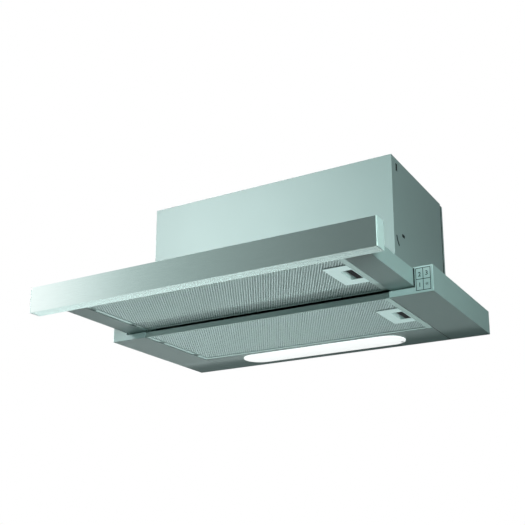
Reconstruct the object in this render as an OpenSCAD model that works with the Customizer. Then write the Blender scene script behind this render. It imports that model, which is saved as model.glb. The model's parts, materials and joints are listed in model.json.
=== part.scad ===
// Pull out range hood for a 60 cm kitchen cabinet
// Millimetres, +X to the right, +Y towards the wall, +Z up.
// The origin is the middle of the four cabinet screws, on the face that bears on the cabinet.
// The visor is drawn pulled out, and every module measures from the base's front lower edge.

/* [Overall] */
// Width of the base and of the fascia
hood_w = 598; // [570:1:898]
// Depth of the base, from its front face to the wall
base_d = 282.5; // [240:0.5:320]
// Height of the base
base_h = 41; // [40:0.5:48]
// Thickness of the folded steel sheet
sheet = 1; // [0.7:0.1:1.2]

/* [Base] */
// Width of the side boxes beside the filters
side_box_w = 70; // [66:1:90]
// Width of the full height block at each front corner
block_w = 30.4; // [29:0.2:34]
// Depth of the corner blocks
block_d = 28; // [22:1:30]
// Wall of the corner blocks
block_wall = 2; // [1.5:0.1:2.5]
// Height of the low ledge under the visor
ledge_h = 9.6; // [9.4:0.1:10.4]
// Width of the edge folded in on top of the ledge
ledge_fold_w = 14; // [6:1:24]
// Depth of the light panel behind the rear filter
light_panel_d = 90; // [80:0.5:91]
// Height of the light panel's upturned edges
light_panel_edge_h = 9; // [6:0.5:10]
// Seam between neighbouring underside pieces
seam = 0.8; // [0.3:0.05:0.9]

/* [Cabinet screws] */
// Distance from the hood's sides to the screw holes
screw_side_gap = 9; // [7.5:0.5:13]
// Distance from the front face to the front screw holes
screw_front_y = 60; // [50:1:75]
// Distance from the rear screw holes to the wall
screw_rear_gap = 52.5; // [40:0.5:70]
// Radius of the screw holes
screw_hole_r = 2.5; // [2:0.1:3]

/* [Housing] */
// Width of the upper box
housing_w = 461.6; // [440:0.2:500]
// Height of the upper box above the base
housing_h = 206.3; // [200:0.1:260]
// Distance from the base's front face to the upper box
housing_y = 25.3; // [20:0.1:30]
// Distance from the upper box's rear panel to the wall
housing_rear_gap = 15.9; // [10:0.1:20]
// Width of the flanges folded into the upper box
housing_flange_w = 14; // [10:1:18]
// How far the box's flanges stop short of its lower rear corners, so that the sheet folds
flange_relief = 14; // [2:0.5:16]
// Depth of the rear panel with its rim
rear_panel_d = 10.5; // [8:0.5:14]
// Width of the groove between the upper box and the rear panel
rear_groove_w = 5; // [2:0.5:6]
// Depth of the groove
rear_groove_depth = 2.4; // [1:0.2:4]
// How far the seal in the groove lies below the box's sides
rear_seal_gap = 0.4; // [0.2:0.1:0.8]
// Radius of the rear panel's top corners
rear_corner_r = 4; // [4:1:16]

/* [Bracket slots] */
// Distance from the box's front to the middle of the bracket pivot slot
pivot_y = 40; // [36:1:60]
// Height of the bracket pivot slot above the base
pivot_z = 79.2; // [60:0.2:120]
// Length of the bracket pivot slot
pivot_l = 11; // [7:0.5:14]
// Width of the bracket pivot slot
pivot_w = 4.6; // [3:0.2:6]
// Radius of the arc slot round the pivot slot
arc_slot_r = 30; // [22:1:31]
// Width of the arc slot
arc_slot_w = 3; // [2:0.2:4]
// Distance from the box's front to the short slot
short_slot_y = 18; // [14:1:40]
// Distance from the box's top to the short slot
short_slot_top = 9; // [4:1:20]
// Length of the short slot
short_slot_l = 12; // [8:1:20]
// Width of the short slot
short_slot_w = 5; // [3:0.5:7]

/* [Visor] */
// Length of the visor that stays between the rails when it is pulled out
visor_hold_l = 60; // [50:1:90]
// Gap between the fascia and the base when the visor is in
closed_gap = 0.4; // [0.3:0.1:2]
// Gap between the visor's side and the corner block
visor_side_gap = 0.8; // [0.5:0.1:1.5]
// Gap between the ledge and the visor's underside
visor_under_gap = 2.9; // [1:0.1:3.5]
// Height of the visor
visor_h = 27; // [24:0.1:27]
// Width of the top edge folded in on the visor's side arms
visor_fold_w = 12; // [6:1:20]
// Gap between the visor's rear end and the base's back when the visor is in
visor_end_gap = 3; // [1:0.5:6]

/* [Fascia] */
// Height of the fascia
fascia_h = 41.8; // [40:0.2:60]
// Height of the fascia's lower edge above the base's underside
fascia_z = 1; // [0:0.5:3]
// Depth of the fascia
fascia_d = 22.5; // [14:0.5:30]
// Height of the fascia's lower rear lip
fascia_lip_h = 9; // [5:0.5:12]
// Thickness of the end caps
end_cap_t = 1.6; // [1:0.1:3]
// How far an end cap's plug reaches into the fascia
end_cap_plug_l = 9; // [5:0.5:14]

/* [Slides] */
// Depth of a slide, from the visor to its bracket
slide_d = 13; // [12:0.5:15]
// Height of the fixed rail
slide_h = 22; // [20:0.5:23]
// Height of the slide's middle above the base's underside
slide_z = 26; // [25:0.5:26.5]
// Thickness of the rails
rail_t = 1.5; // [1:0.1:1.8]
// Running gap between the rails
rail_gap = 0.35; // [0.3:0.01:0.5]
// Length of the middle member as a share of the fixed rail's
middle_share = 0.527; // [0.45:0.005:0.54]
// Width of the bracket's foot
bracket_foot_w = 12; // [8:1:13]

/* [Filters] */
// Gap between the rear filter and the light panel
filter_light_gap = 0.5; // [0.3:0.1:2]
// Thickness of the filters
filter_h = 9; // [8.4:0.1:9.2]
// Gap between a filter and the edges beside it
filter_gap = 0.4; // [0.3:0.05:0.8]
// Gap between the two filters
filter_row_gap = 1; // [0.6:0.1:2]
// Width of the filter frame's rim
rim_w = 9; // [8.8:0.1:14]
// Width of the rim at the edge where the two filters meet
rim_thin_w = 1.6; // [1:0.1:4]
// Thickness of the filter frame's foil
foil = 0.8; // [0.5:0.1:1]
// Pitch of the mesh pack's pleats
pleat_pitch = 4; // [3.6:0.2:10]
// Thickness of the mesh pack's sheet
pleat_t = 1.1; // [0.8:0.1:1.4]

/* [Filter hooks] */
// Radius of the bead along the hooked edge
bead_r = 2.6; // [2.4:0.1:3]
// Radius of the bead where a hook holds it
hook_pin_r = 1.5; // [1.2:0.1:1.7]
// Radial clearance of the hooks
hook_clearance = 0.06; // [0.03:0.01:0.1]
// Outer radius of a hook
hook_r = 2.5; // [2.2:0.1:2.8]
// Length of a hook
hook_l = 10; // [6:1:16]
// Space beside a hook in its notch
notch_gap = 2; // [1:0.5:4]
// Depth of the notch from the hooked edge
notch_w = 7.6; // [7:0.1:8]

/* [Latches] */
// Width of the latch plate
latch_plate_w = 38; // [32:1:50]
// Length of the latch plate
latch_plate_l = 80; // [70:1:100]
// Thickness of the latch plate
latch_plate_t = 0.8; // [0.6:0.1:1]
// Width of the finger recess
recess_w = 19; // [18:0.5:22]
// Length of the finger recess
recess_l = 41; // [34:0.5:50]
// Height of the finger recess
recess_h = 6; // [5.6:0.1:6.4]
// Travel of the latch slider
latch_travel = 4; // [2:0.5:4.5]
// Width of the latch slider's grip
grip_w = 10.5; // [10:0.1:11]
// Running gap round the latch slider
latch_gap = 0.35; // [0.3:0.05:0.5]
// Width of the latch tongue
tongue_w = 12; // [8:1:14]
// Height of the latch tongue
tongue_h = 2.6; // [2:0.1:3]

/* [Controls] */
// Width of the button window
window_w = 22.8; // [20:0.2:24]
// Height of the button window
window_h = 34.6; // [28:0.2:34.8]
// Gap round each button
button_gap = 0.35; // [0.3:0.05:0.6]
// Thickness of a button's cap
button_t = 3; // [2:0.1:4]
// Radius of a button's corners
button_corner_r = 0.8; // [0.3:0.1:2]
// Radius of a button's stem
stem_r = 1.6; // [1.2:0.1:2.5]
// Travel of the buttons
button_travel = 1.5; // [0.5:0.1:2]
// Distance from the front face to the control board
board_y = 16; // [14:0.5:18]
// Thickness of the control board
board_t = 1.6; // [1:0.1:2]
// Side of a switch
switch_w = 6; // [5:0.2:8]
// Height of a switch without its plunger
switch_h = 4; // [3:0.2:5]

/* [Blower] */
// Space between the upper box's floor and the scroll
scroll_floor_gap = 3; // [2:0.5:4]
// Space between the upper box's front wall and the scroll
scroll_front_gap = 5.7; // [4:0.1:12]
// Radius of the scroll at its tongue as a share of the room in the upper box
scroll_share = 0.716; // [0.68:0.004:0.732]
// Growth of the scroll's radius round its sweep as a share of that room
growth_share = 0.165; // [0.105:0.005:0.17]
// Inside width of the scroll
scroll_w = 120; // [116:1:140]
// Wall of the scroll
scroll_wall = 2; // [1.5:0.1:2.5]
// Distance from the axis to the duct's front wall
duct_front = 10; // [6:1:14]
// Space between the impeller and the scroll at its tongue
impeller_gap = 9; // [7:0.5:12]
// Radial height of the blades
blade_h = 11; // [9:0.5:13]
// Number of blades
blade_n = 36; // [24:1:44]
// Thickness of a blade
blade_t = 1.4; // [1:0.1:1.8]
// Width of the impeller
impeller_w = 106; // [100:1:112]
// Thickness of the impeller's disc
disc_t = 2; // [1.5:0.1:3]
// Space round the motor's can in the air inlet
motor_gap = 18; // [14:0.5:20]
// Length of the motor's can
motor_l = 56; // [50:1:60]
// Radius of the motor's shaft
shaft_r = 4; // [3:0.5:5]
// Radial clearance of the shaft in the motor
shaft_clearance = 0.05; // [0.02:0.01:0.1]
// Number of arms of the motor bracket
arm_n = 3; // [3:1:4]

/* [Outlet] */
// Outer radius of the collar, for a 120 mm duct
collar_r = 59.5; // [50:0.5:59.5]
// Height of the collar
collar_h = 28; // [24:1:30]
// Wall of the collar
collar_wall = 2; // [1.5:0.1:3]
// Radius of the collar's flange
collar_flange_r = 72; // [68:1:76]
// Thickness of the collar's flange
collar_flange_t = 2; // [1.5:0.1:3]
// Thickness of a return flap
flap_t = 1.2; // [0.8:0.1:1.6]
// Radius of the flap axle
axle_r = 1.5; // [1.2:0.1:2]
// Radial clearance of the flaps on their axle
axle_clearance = 0.06; // [0.03:0.01:0.1]

/* [Lamp] */
// Length of the lamp cover
lamp_cover_l = 324; // [300:1:360]
// Width of the lamp cover
lamp_cover_w = 60.5; // [56:0.5:64]
// How far the lamp cover stands below the underside
lamp_cover_proud = 1.2; // [0.6:0.1:3]
// Distance from the light panel's front edge to the middle of the lamp cover
lamp_inset = 39; // [37.5:0.5:41]
// Width of the lamp cover's seat
lamp_seat_w = 4; // [3:0.5:6]
// Radius of a lamp bulb
bulb_r = 17; // [15:0.5:17.5]
// Length of a lamp bulb without its screw base
bulb_l = 76; // [60:1:85]
// Radius of a lamp's screw base
lamp_base_r = 7; // [6:0.5:9]
// Radius of a lamp holder
holder_r = 13; // [11:0.5:14]

/* [Fasteners] */
// Radius of the sheet metal screws
screw_r = 1.5; // [1:0.1:2]
// Radius of their heads
screw_head_r = 3; // [2.5:0.1:3.5]
// Height of their heads
screw_head_h = 1.8; // [1.2:0.1:2.4]

/* [Hidden] */
$fn = 64;

// Overrun of every cut
cut = 1;

// Half widths, from the middle outwards
open_x = hood_w / 2 - side_box_w;
block_x = hood_w / 2 - block_w;
visor_x = block_x - visor_side_gap;
side_x = hood_w / 2 - sheet;
housing_x = housing_w / 2;
filter_x = open_x - filter_gap;

// Heights above the base's underside
cover_z = base_h - sheet;
visor_z = ledge_h + visor_under_gap;
visor_top = visor_z + visor_h;
housing_top = base_h + housing_h;

// Distances from the base's front face
back_y = base_d - sheet;
screw_span_x = hood_w - 2 * screw_side_gap;
screw_span_y = base_d - screw_front_y - screw_rear_gap;
screw_y = screw_front_y + screw_span_y / 2;
rail_y0 = block_d + visor_end_gap + sheet;
rail_y1 = back_y - visor_end_gap;
visor_end = rail_y0 + visor_hold_l;
// How far the visor slides out of the base
travel = rail_y1 - visor_end;
fascia_rear = -travel - closed_gap;
housing_back = base_d - housing_rear_gap - rear_panel_d;
housing_d = housing_back - housing_y;
light_panel_y = base_d - light_panel_d;
lamp_y = light_panel_y + lamp_inset;
rear_filter_y = block_wall;
rear_filter_d = light_panel_y - filter_light_gap - rear_filter_y;
front_filter_y = fascia_rear + sheet + filter_gap;
front_filter_d = rear_filter_y - filter_row_gap - front_filter_y;

// Blower
scroll_sweep = 270;
scroll_steps = 18;
// The room in the upper box follows its depth and its height alike
scroll_room = housing_d * housing_h / (housing_d + housing_h);
scroll_r0 = scroll_room * scroll_share;
scroll_growth = scroll_room * growth_share;
scroll_r1 = scroll_r0 + scroll_growth;
// The scroll's front lies a third of its sweep from the tongue, and its lowest point two thirds
blower_y = housing_y + sheet + scroll_front_gap + scroll_wall + scroll_r(scroll_sweep / 3);
blower_z = base_h + sheet + scroll_floor_gap + scroll_wall + scroll_r(scroll_sweep * 2 / 3);
impeller_r = scroll_r0 - impeller_gap;
inlet_r = impeller_r - blade_h;
motor_r = inlet_r - motor_gap;
duct_top = housing_top - sheet - blower_z;
outlet_y = blower_y + (duct_front + scroll_r1) / 2;
outlet_step = 2.5;
outlet_hole_r = collar_r - collar_wall - outlet_step;

// Colours
steel = [0.62, 0.68, 0.67];
dark_steel = [0.45, 0.52, 0.51];
bright_steel = [0.8, 0.84, 0.84];
aluminium = [0.74, 0.79, 0.78];
plastic_grey = [0.72, 0.78, 0.76];
black = [0.08, 0.08, 0.09];
zinc = [0.7, 0.71, 0.72];
white = [0.97, 0.98, 0.98];
dark_plastic = [0.22, 0.23, 0.24];
motor_grey = [0.35, 0.36, 0.38];
mesh_grey = [0.66, 0.72, 0.71];
board_green = [0.1, 0.35, 0.2];

// Places children, measured from the base's front lower edge, in the part's frame
module from_front() translate([0, -screw_y, -base_h]) children();

// A block between two corners
module block(low, high) translate(low) cube(high - low);

// The children and their mirror image
module both_sides() {
  children();
  mirror([1, 0, 0]) children();
}

// A cylinder along X, along Y or along Z
module rod_x(r, x0, x1) translate([x0, 0, 0]) rotate([0, 90, 0]) cylinder(r = r, h = x1 - x0);
module rod_y(r, y0, y1) translate([0, y0, 0]) rotate([-90, 0, 0]) cylinder(r = r, h = y1 - y0);
module rod_z(r, z0, z1) translate([0, 0, z0]) cylinder(r = r, h = z1 - z0);

// A flat rectangle with four round corners, centred
module round_rect(w, h, r) {
  square([w - 2 * r, h], center = true);
  square([w, h - 2 * r], center = true);
  for (sx = [-1, 1], sy = [-1, 1]) translate([sx * (w / 2 - r), sy * (h / 2 - r)]) circle(r = r);
}

// A pan head screw whose shank points down; the seat is at zero
module screw(length) {
  rod_z(screw_r, -length, 0);
  difference() {
    rotate_extrude() screw_head_profile();
    for (turn = [0, 90]) rotate([0, 0, turn]) recess_slot();
  }
}
module screw_head_profile() {
  intersection() {
    square([screw_head_r, screw_head_h]);
    translate([0, screw_head_h - 2 * screw_head_r]) circle(r = 2 * screw_head_r);
  }
}
recess_slot_share = 0.3;
module recess_slot() {
  reach = screw_head_r * (1 - recess_slot_share);
  half = screw_head_r * recess_slot_share / 2;
  block([-reach, -half, screw_head_h / 2], [reach, half, screw_head_h + cut]);
}

// Base

// Where the air passes from the base into the upper box
module air_opening() {
  inset = housing_flange_w + sheet;
  block([-housing_x + inset, housing_y + inset, cover_z - cut],
        [housing_x - inset, housing_back - inset, base_h + cut]);
}
module cabinet_screw_places() {
  for (sx = [-1, 1], sy = [-1, 1])
    translate([sx * screw_span_x / 2, screw_y + sy * screw_span_y / 2, 0]) children();
}
// Screws that hold the upper box on the base
housing_screw_y_shares = [0.06, 0.5, 0.89];
module housing_screw_places() {
  inset = sheet + housing_flange_w / 2;
  for (s = housing_screw_y_shares)
    both_sides() translate([housing_x - inset, housing_y + housing_d * s, base_h + sheet]) children();
}
module base_cover() from_front() color(steel) difference() {
  union() {
    block([-hood_w / 2, 0, cover_z], [hood_w / 2, base_d, base_h]);
    block([-hood_w / 2, back_y, 0], [hood_w / 2, base_d, base_h]);
    both_sides() block([side_x, 0, 0], [hood_w / 2, base_d, base_h]);
  }
  air_opening();
  cabinet_screw_places() rod_z(screw_hole_r, cover_z - cut, base_h + cut);
  housing_screw_places() rod_z(screw_r, -2 * sheet - cut, cut);
}

// The underside of a side box, drawn on the right: floor, inner lip and its top fold
module side_channel() {
  block([open_x, block_wall, 0], [side_x, back_y, sheet]);
  block([open_x, block_wall, 0], [open_x + sheet, back_y, ledge_h]);
  block([open_x, block_wall, ledge_h - sheet], [open_x + ledge_fold_w, back_y, ledge_h]);
}
rear_filter_mid = rear_filter_y + rear_filter_d / 2;
module side_channel_right() from_front() color(dark_steel) difference() {
  side_channel();
  strike_slot(rear_filter_mid, 0);
}
module side_channel_left() from_front() color(dark_steel) {
  mirror([1, 0, 0]) side_channel();
  hooks(rear_filter_y, rear_filter_d, 0);
}

// Light panel

module lamp_outline(grow) {
  r = lamp_cover_w / 2 + grow;
  reach = (lamp_cover_l - lamp_cover_w) / 2;
  translate([-reach, -r]) square([2 * reach, 2 * r]);
  for (s = [-1, 1]) translate([s * reach, 0]) circle(r = r);
}
cover_screw_x_share = 0.94;
cover_screw_y_share = 0.5;
module cover_screw_place() {
  translate([lamp_cover_l / 2 * cover_screw_x_share, lamp_y + lamp_cover_w / 2 * cover_screw_y_share, 0])
    children();
}
// The panel keeps a solid tab at each end, for the cover's screw and the lamp holders
lamp_tab_share = 0.84;
lamp_open_x = lamp_cover_l / 2 * lamp_tab_share;
module light_panel() from_front() color(dark_steel) difference() {
  union() {
    block([-open_x + seam, light_panel_y, 0], [open_x - seam, back_y, sheet]);
    block([-open_x + seam, light_panel_y, 0], [open_x - seam, light_panel_y + sheet, light_panel_edge_h]);
    block([-open_x + seam, back_y - sheet, 0], [open_x - seam, back_y, light_panel_edge_h]);
    both_sides()
      block([open_x - seam - sheet, light_panel_y, 0], [open_x - seam, back_y, light_panel_edge_h]);
  }
  intersection() {
    translate([0, lamp_y, -cut]) linear_extrude(sheet + 2 * cut) lamp_outline(-lamp_seat_w);
    block([-lamp_open_x, light_panel_y, -cut], [lamp_open_x, back_y, sheet + cut]);
  }
  cover_screw_place() rod_z(screw_r, -cut, sheet + cut);
}

// Controls

window_x = block_x + (block_w - sheet) / 2;
window_z = cover_z / 2 + block_wall / 2;
// A corner block with its L shaped face, drawn on the right
module corner_block() {
  block([block_x, 0, 0], [side_x, block_wall, cover_z]);
  block([open_x, 0, 0], [block_x + block_wall, block_wall, ledge_h]);
  difference() {
    block([block_x, 0, sheet], [side_x, block_d, cover_z]);
    block([block_x + block_wall, -cut, sheet + block_wall],
          [side_x - block_wall, block_d + cut, cover_z - block_wall]);
  }
}
module control_bezel() from_front() color(plastic_grey) difference() {
  corner_block();
  translate([window_x, block_wall + cut, window_z]) rotate([90, 0, 0])
    linear_extrude(block_wall + 2 * cut) square([window_w, window_h], center = true);
}
module front_cap() from_front() color(plastic_grey) mirror([1, 0, 0]) corner_block();

button_w = (window_w - 3 * button_gap) / 2;
button_h = (window_h - 3 * button_gap) / 2;
module button_place(column, row) {
  x = window_x + column * (button_w + button_gap) / 2;
  z = window_z + row * (button_h + button_gap) / 2;
  translate([x, 0, z]) children();
}
plunger_h_share = 0.25;
plunger_tip = board_y - switch_h * (1 + plunger_h_share);
stem_end = plunger_tip - button_travel - button_gap;
button_proud_share = 0.1;
module button(column, row) from_front() color(plastic_grey) button_place(column, row) {
  translate([0, button_t * (1 - button_proud_share), 0]) rotate([90, 0, 0])
    linear_extrude(button_t) round_rect(button_w, button_h, button_corner_r);
  rod_y(stem_r, 0, stem_end);
}
module button_1() button(-1, -1);
module button_2() button(-1, 1);
module button_3() button(1, 1);
module button_light() button(1, -1);

module control_board() from_front() {
  color(board_green)
    block([block_x + block_wall, board_y, sheet + block_wall],
          [side_x - block_wall, board_y + board_t, cover_z - block_wall]);
  color(black) for (column = [-1, 1], row = [-1, 1]) button_place(column, row) {
    block([-switch_w / 2, board_y - switch_h, -switch_w / 2], [switch_w / 2, board_y, switch_w / 2]);
    rod_y(switch_w / 4, plunger_tip, board_y);
  }
}

// Upper box

module collar_place() translate([0, outlet_y, housing_top]) children();
collar_screw_share = 0.5;
collar_screw_r = collar_r + (collar_flange_r - collar_r) * collar_screw_share;
module collar_screw_places() {
  for (turn = [45:90:315]) rotate([0, 0, turn]) translate([collar_screw_r, 0, 0]) children();
}
gland_x_share = 0.6;
gland_y_share = 0.82;
gland_r = 8;
gland_clearance = 0.2;
module gland_place() {
  translate([housing_x * gland_x_share, housing_y + housing_d * gland_y_share, housing_top]) children();
}
// Screws that hold the rear panel, as shares of the box's half width and height
rear_screw_shares = [[-0.96, 0.1], [-0.96, 0.55], [-0.96, 0.92], [0.96, 0.1], [0.96, 0.55], [0.96, 0.92]];
module rear_screw_places() {
  for (s = rear_screw_shares) translate([housing_x * s[0], 0, base_h + housing_h * s[1]]) children();
}
// A slot with round ends, centred, along the first axis
module slot_outline(length, width) {
  square([length - width, width], center = true);
  for (s = [-1, 1]) translate([s * (length - width) / 2, 0]) circle(r = width / 2);
}
// Slots for the fixing brackets, cut through one side wall
arc_start = 195;
arc_end = 228;
module bracket_slots() {
  translate([housing_x - sheet - cut, housing_y, 0]) rotate([90, 0, 90]) linear_extrude(sheet + 2 * cut) {
    translate([pivot_y, base_h + pivot_z]) {
      slot_outline(pivot_l, pivot_w);
      intersection() {
        difference() {
          circle(r = arc_slot_r + arc_slot_w / 2);
          circle(r = arc_slot_r - arc_slot_w / 2);
        }
        polygon([[0, 0], for (a = [arc_start, arc_end]) 2 * arc_slot_r * [cos(a), sin(a)]]);
      }
    }
    translate([short_slot_y, housing_top - short_slot_top - short_slot_l])
      square([short_slot_w, short_slot_l]);
  }
}
// Front, sides, and the flanges that carry the base below and the rear panel behind
module motor_housing() from_front() color(steel) difference() {
  block([-housing_x, housing_y, base_h], [housing_x, housing_back, housing_top - sheet]);
  block([-housing_x + sheet, housing_y + sheet, base_h + sheet],
        [housing_x - sheet, housing_back - sheet, housing_top + cut]);
  inset = sheet + housing_flange_w;
  block([-housing_x + inset, housing_y + inset, base_h - cut],
        [housing_x - inset, housing_back + cut, base_h + sheet + cut]);
  block([-housing_x + inset, housing_back - sheet - cut, base_h - cut],
        [housing_x - inset, housing_back + cut, housing_top - inset]);
  both_sides() block([housing_x - inset - cut, housing_back - flange_relief, base_h - cut],
                     [housing_x - sheet, housing_back + cut, base_h + flange_relief]);
  both_sides() bracket_slots();
  housing_screw_places() rod_z(screw_r, -2 * sheet - cut, cut);
  rear_screw_places() rod_y(screw_r, housing_back - sheet - cut, housing_back + cut);
}
module housing_top() from_front() color(steel) difference() {
  block([-housing_x, housing_y, housing_top - sheet], [housing_x, housing_back, housing_top]);
  collar_place() rod_z(outlet_hole_r, -sheet - cut, cut);
  collar_place() collar_screw_places() rod_z(screw_r, -sheet - cut, cut);
  gland_place() rod_z(gland_r, -sheet - cut, cut);
}
// Outline of the rear panel: square below, round corners above
module rear_outline(inset) {
  w = housing_w - 2 * inset;
  h = housing_h - inset;
  r = rear_corner_r;
  translate([-w / 2, inset]) square([w, h - inset - r]);
  translate([-w / 2 + r, inset]) square([w - 2 * r, h - inset]);
  for (s = [-1, 1]) translate([s * (w / 2 - r), h - r]) circle(r = r);
}
module rear_slab(inset, y0, y1) {
  translate([0, y1, base_h]) rotate([90, 0, 0]) linear_extrude(y1 - y0) rear_outline(inset);
}
module rear_panel() from_front() color(steel) {
  rim_y = housing_back + rear_groove_w;
  end_y = housing_back + rear_panel_d;
  difference() {
    union() {
      rear_slab(0, rim_y, end_y);
      rear_slab(rear_groove_depth, housing_back, rim_y);
    }
    difference() {
      union() {
        rear_slab(rear_groove_depth + sheet, housing_back - cut, end_y - sheet);
        rear_slab(sheet, rim_y + sheet, end_y - sheet);
      }
      rear_screw_places() rod_y(screw_head_r, housing_back - cut, end_y);
    }
    rear_screw_places() rod_y(screw_r, housing_back - cut, end_y + cut);
  }
}
// A rubber seal that fills the groove between the upper box and the rear panel
module rear_seal() from_front() color(black) difference() {
  rear_slab(rear_seal_gap, housing_back, housing_back + rear_groove_w);
  rear_slab(rear_groove_depth, housing_back - cut, housing_back + rear_groove_w + cut);
}

// Screw groups

module housing_screws() from_front() color(zinc) housing_screw_places() screw(2 * sheet);
module rear_panel_screws() from_front() color(zinc)
  rear_screw_places() translate([0, housing_back + rear_panel_d, 0]) rotate([-90, 0, 0])
    screw(rear_panel_d + sheet);
module collar_screws() from_front() color(zinc)
  collar_place() collar_screw_places() translate([0, 0, collar_flange_t]) screw(collar_flange_t + sheet);

// Blower

// Places children drawn with their width along Z so that it lies along X at the blower's axis
module at_blower() translate([0, blower_y, blower_z]) children();
module across() rotate([90, 0, 90]) children();

function scroll_r(a) = scroll_r0 + scroll_growth * a / scroll_sweep;
function scroll_outline(grow, top) = concat(
  [for (i = [0:scroll_steps]) let (a = scroll_sweep * i / scroll_steps)
    (scroll_r(a) + grow) * [-sin(a), cos(a)]],
  [[scroll_r1 + grow, top], [duct_front - grow, top],
   [duct_front - grow, sqrt(pow(scroll_r0 + grow, 2) - pow(duct_front - grow, 2))]]);
module scroll_slab(grow, top, x0, x1) {
  translate([x0, 0, 0]) across() linear_extrude(x1 - x0) polygon(scroll_outline(grow, top));
}
duct_flange_w = 9;
module inlet_bead(x) {
  translate([x, 0, 0]) rotate([0, 90, 0]) rotate_extrude()
    translate([inlet_r + scroll_wall, 0]) circle(r = scroll_wall);
}
module scroll_body() from_front() color(black) at_blower() difference() {
  union() {
    scroll_slab(scroll_wall, duct_top, -scroll_w / 2, scroll_w / 2 + scroll_wall);
    inlet_bead(scroll_w / 2 + scroll_wall);
    block([-scroll_w / 2, duct_front - duct_flange_w, duct_top - scroll_wall],
          [scroll_w / 2 + duct_flange_w, scroll_r1 + duct_flange_w, duct_top]);
  }
  scroll_slab(0, duct_top + cut, -scroll_w / 2 - cut, scroll_w / 2);
  rod_x(inlet_r, scroll_w / 2 - cut, scroll_w / 2 + 2 * scroll_wall + cut);
}
module scroll_cover() from_front() color(black) at_blower() difference() {
  union() {
    scroll_slab(scroll_wall, duct_top, -scroll_w / 2 - scroll_wall, -scroll_w / 2);
    inlet_bead(-scroll_w / 2 - scroll_wall);
  }
  rod_x(inlet_r, -scroll_w / 2 - 2 * scroll_wall - cut, -scroll_w / 2 + cut);
}

arm_t = 3;
arm_w = 10;
// The feet of the motor bracket lift its arms over the inlet's bead
foot_h = scroll_wall + 1;
bracket_x = -scroll_w / 2 - scroll_wall - foot_h - arm_t;
motor_proud = 1;
motor_x = bracket_x - motor_proud;
motor_end = motor_x + motor_l;
motor_boss_r = 12;
motor_boss_l = 4;
motor_fold_r = 5;
shaft_x0 = motor_x + motor_l / 3;
slot_n = 10;
module motor() from_front() color(motor_grey) at_blower() difference() {
  union() {
    rotate([0, 90, 0]) rotate_extrude() {
      translate([0, motor_x]) square([motor_r - motor_fold_r, motor_l]);
      translate([0, motor_x + motor_fold_r]) square([motor_r, motor_l - 2 * motor_fold_r]);
      for (x = [motor_x + motor_fold_r, motor_end - motor_fold_r])
        translate([motor_r - motor_fold_r, x]) circle(r = motor_fold_r);
    }
    rod_x(motor_boss_r, motor_end, motor_end + motor_boss_l);
  }
  rod_x(shaft_r + shaft_clearance, shaft_x0, motor_end + motor_boss_l + cut);
  for (i = [0:slot_n - 1]) rotate([360 * i / slot_n, 0, 0])
    block([motor_end - motor_fold_r, -shaft_r / 2, motor_r / 2],
          [motor_end + cut, shaft_r / 2, motor_r - motor_fold_r]);
}
module motor_bracket() from_front() color(zinc) at_blower() difference() {
  union() {
    rod_x(motor_r + arm_t, bracket_x, bracket_x + 3 * arm_t);
    for (i = [0:arm_n - 1]) rotate([360 * i / arm_n, 0, 0]) {
      block([bracket_x, -arm_w / 2, motor_r], [bracket_x + arm_t, arm_w / 2, inlet_r + 2 * arm_w]);
      block([bracket_x, -arm_w / 2, inlet_r + arm_w],
            [bracket_x + arm_t + foot_h, arm_w / 2, inlet_r + 2 * arm_w]);
    }
  }
  rod_x(motor_r, bracket_x - cut, bracket_x + 3 * arm_t + cut);
}

hub_r = 10;
hub_x0 = motor_end + motor_boss_l + 2 * disc_t;
disc_x = -disc_t / 2;
hub_l = disc_x + 4 * disc_t - hub_x0;
blade_steps = 4;
blade_sweep = 20;
blade_r0 = impeller_r - blade_h;
// The disc and the end rings reach past the blades by this much
blade_inset = 0.6;
// One side of a blade: a forward curved arc from the inner to the outer radius
function blade_side(turn) = [
  for (i = [0:blade_steps]) let (s = i / blade_steps, a = turn + blade_sweep * s * s)
    (blade_r0 + (blade_h - blade_inset) * s) * [cos(a), sin(a)]];
function reversed(list) = [for (i = [len(list) - 1:-1:0]) list[i]];
blade_turn = blade_t / impeller_r * 180 / PI;
module blades_2d() {
  for (i = [0:blade_n - 1]) let (turn = 360 * i / blade_n)
    polygon(concat(blade_side(turn), reversed(blade_side(turn + blade_turn))));
}
module impeller() from_front() color(dark_plastic) at_blower() {
  difference() {
    union() {
      rod_x(impeller_r, disc_x, disc_x + disc_t);
      rod_x(hub_r, hub_x0, hub_x0 + hub_l);
    }
    rod_x(shaft_r, hub_x0 - cut, hub_x0 + hub_l + cut);
  }
  for (side = [-1, 1]) {
    x0 = side < 0 ? -impeller_w / 2 : disc_x + disc_t;
    x1 = side < 0 ? disc_x : impeller_w / 2;
    translate([x0, 0, 0]) across() linear_extrude(x1 - x0) blades_2d();
    ring_x = side * (impeller_w - disc_t) / 2 - disc_t / 2;
    difference() {
      rod_x(impeller_r, ring_x, ring_x + disc_t);
      rod_x(blade_r0 - blade_inset, ring_x - cut, ring_x + disc_t + cut);
    }
  }
}
module impeller_shaft() from_front() color(bright_steel) at_blower()
  rod_x(shaft_r, shaft_x0 + cut, hub_x0 + hub_l + disc_t);

// Electrical pieces in the upper box

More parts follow.
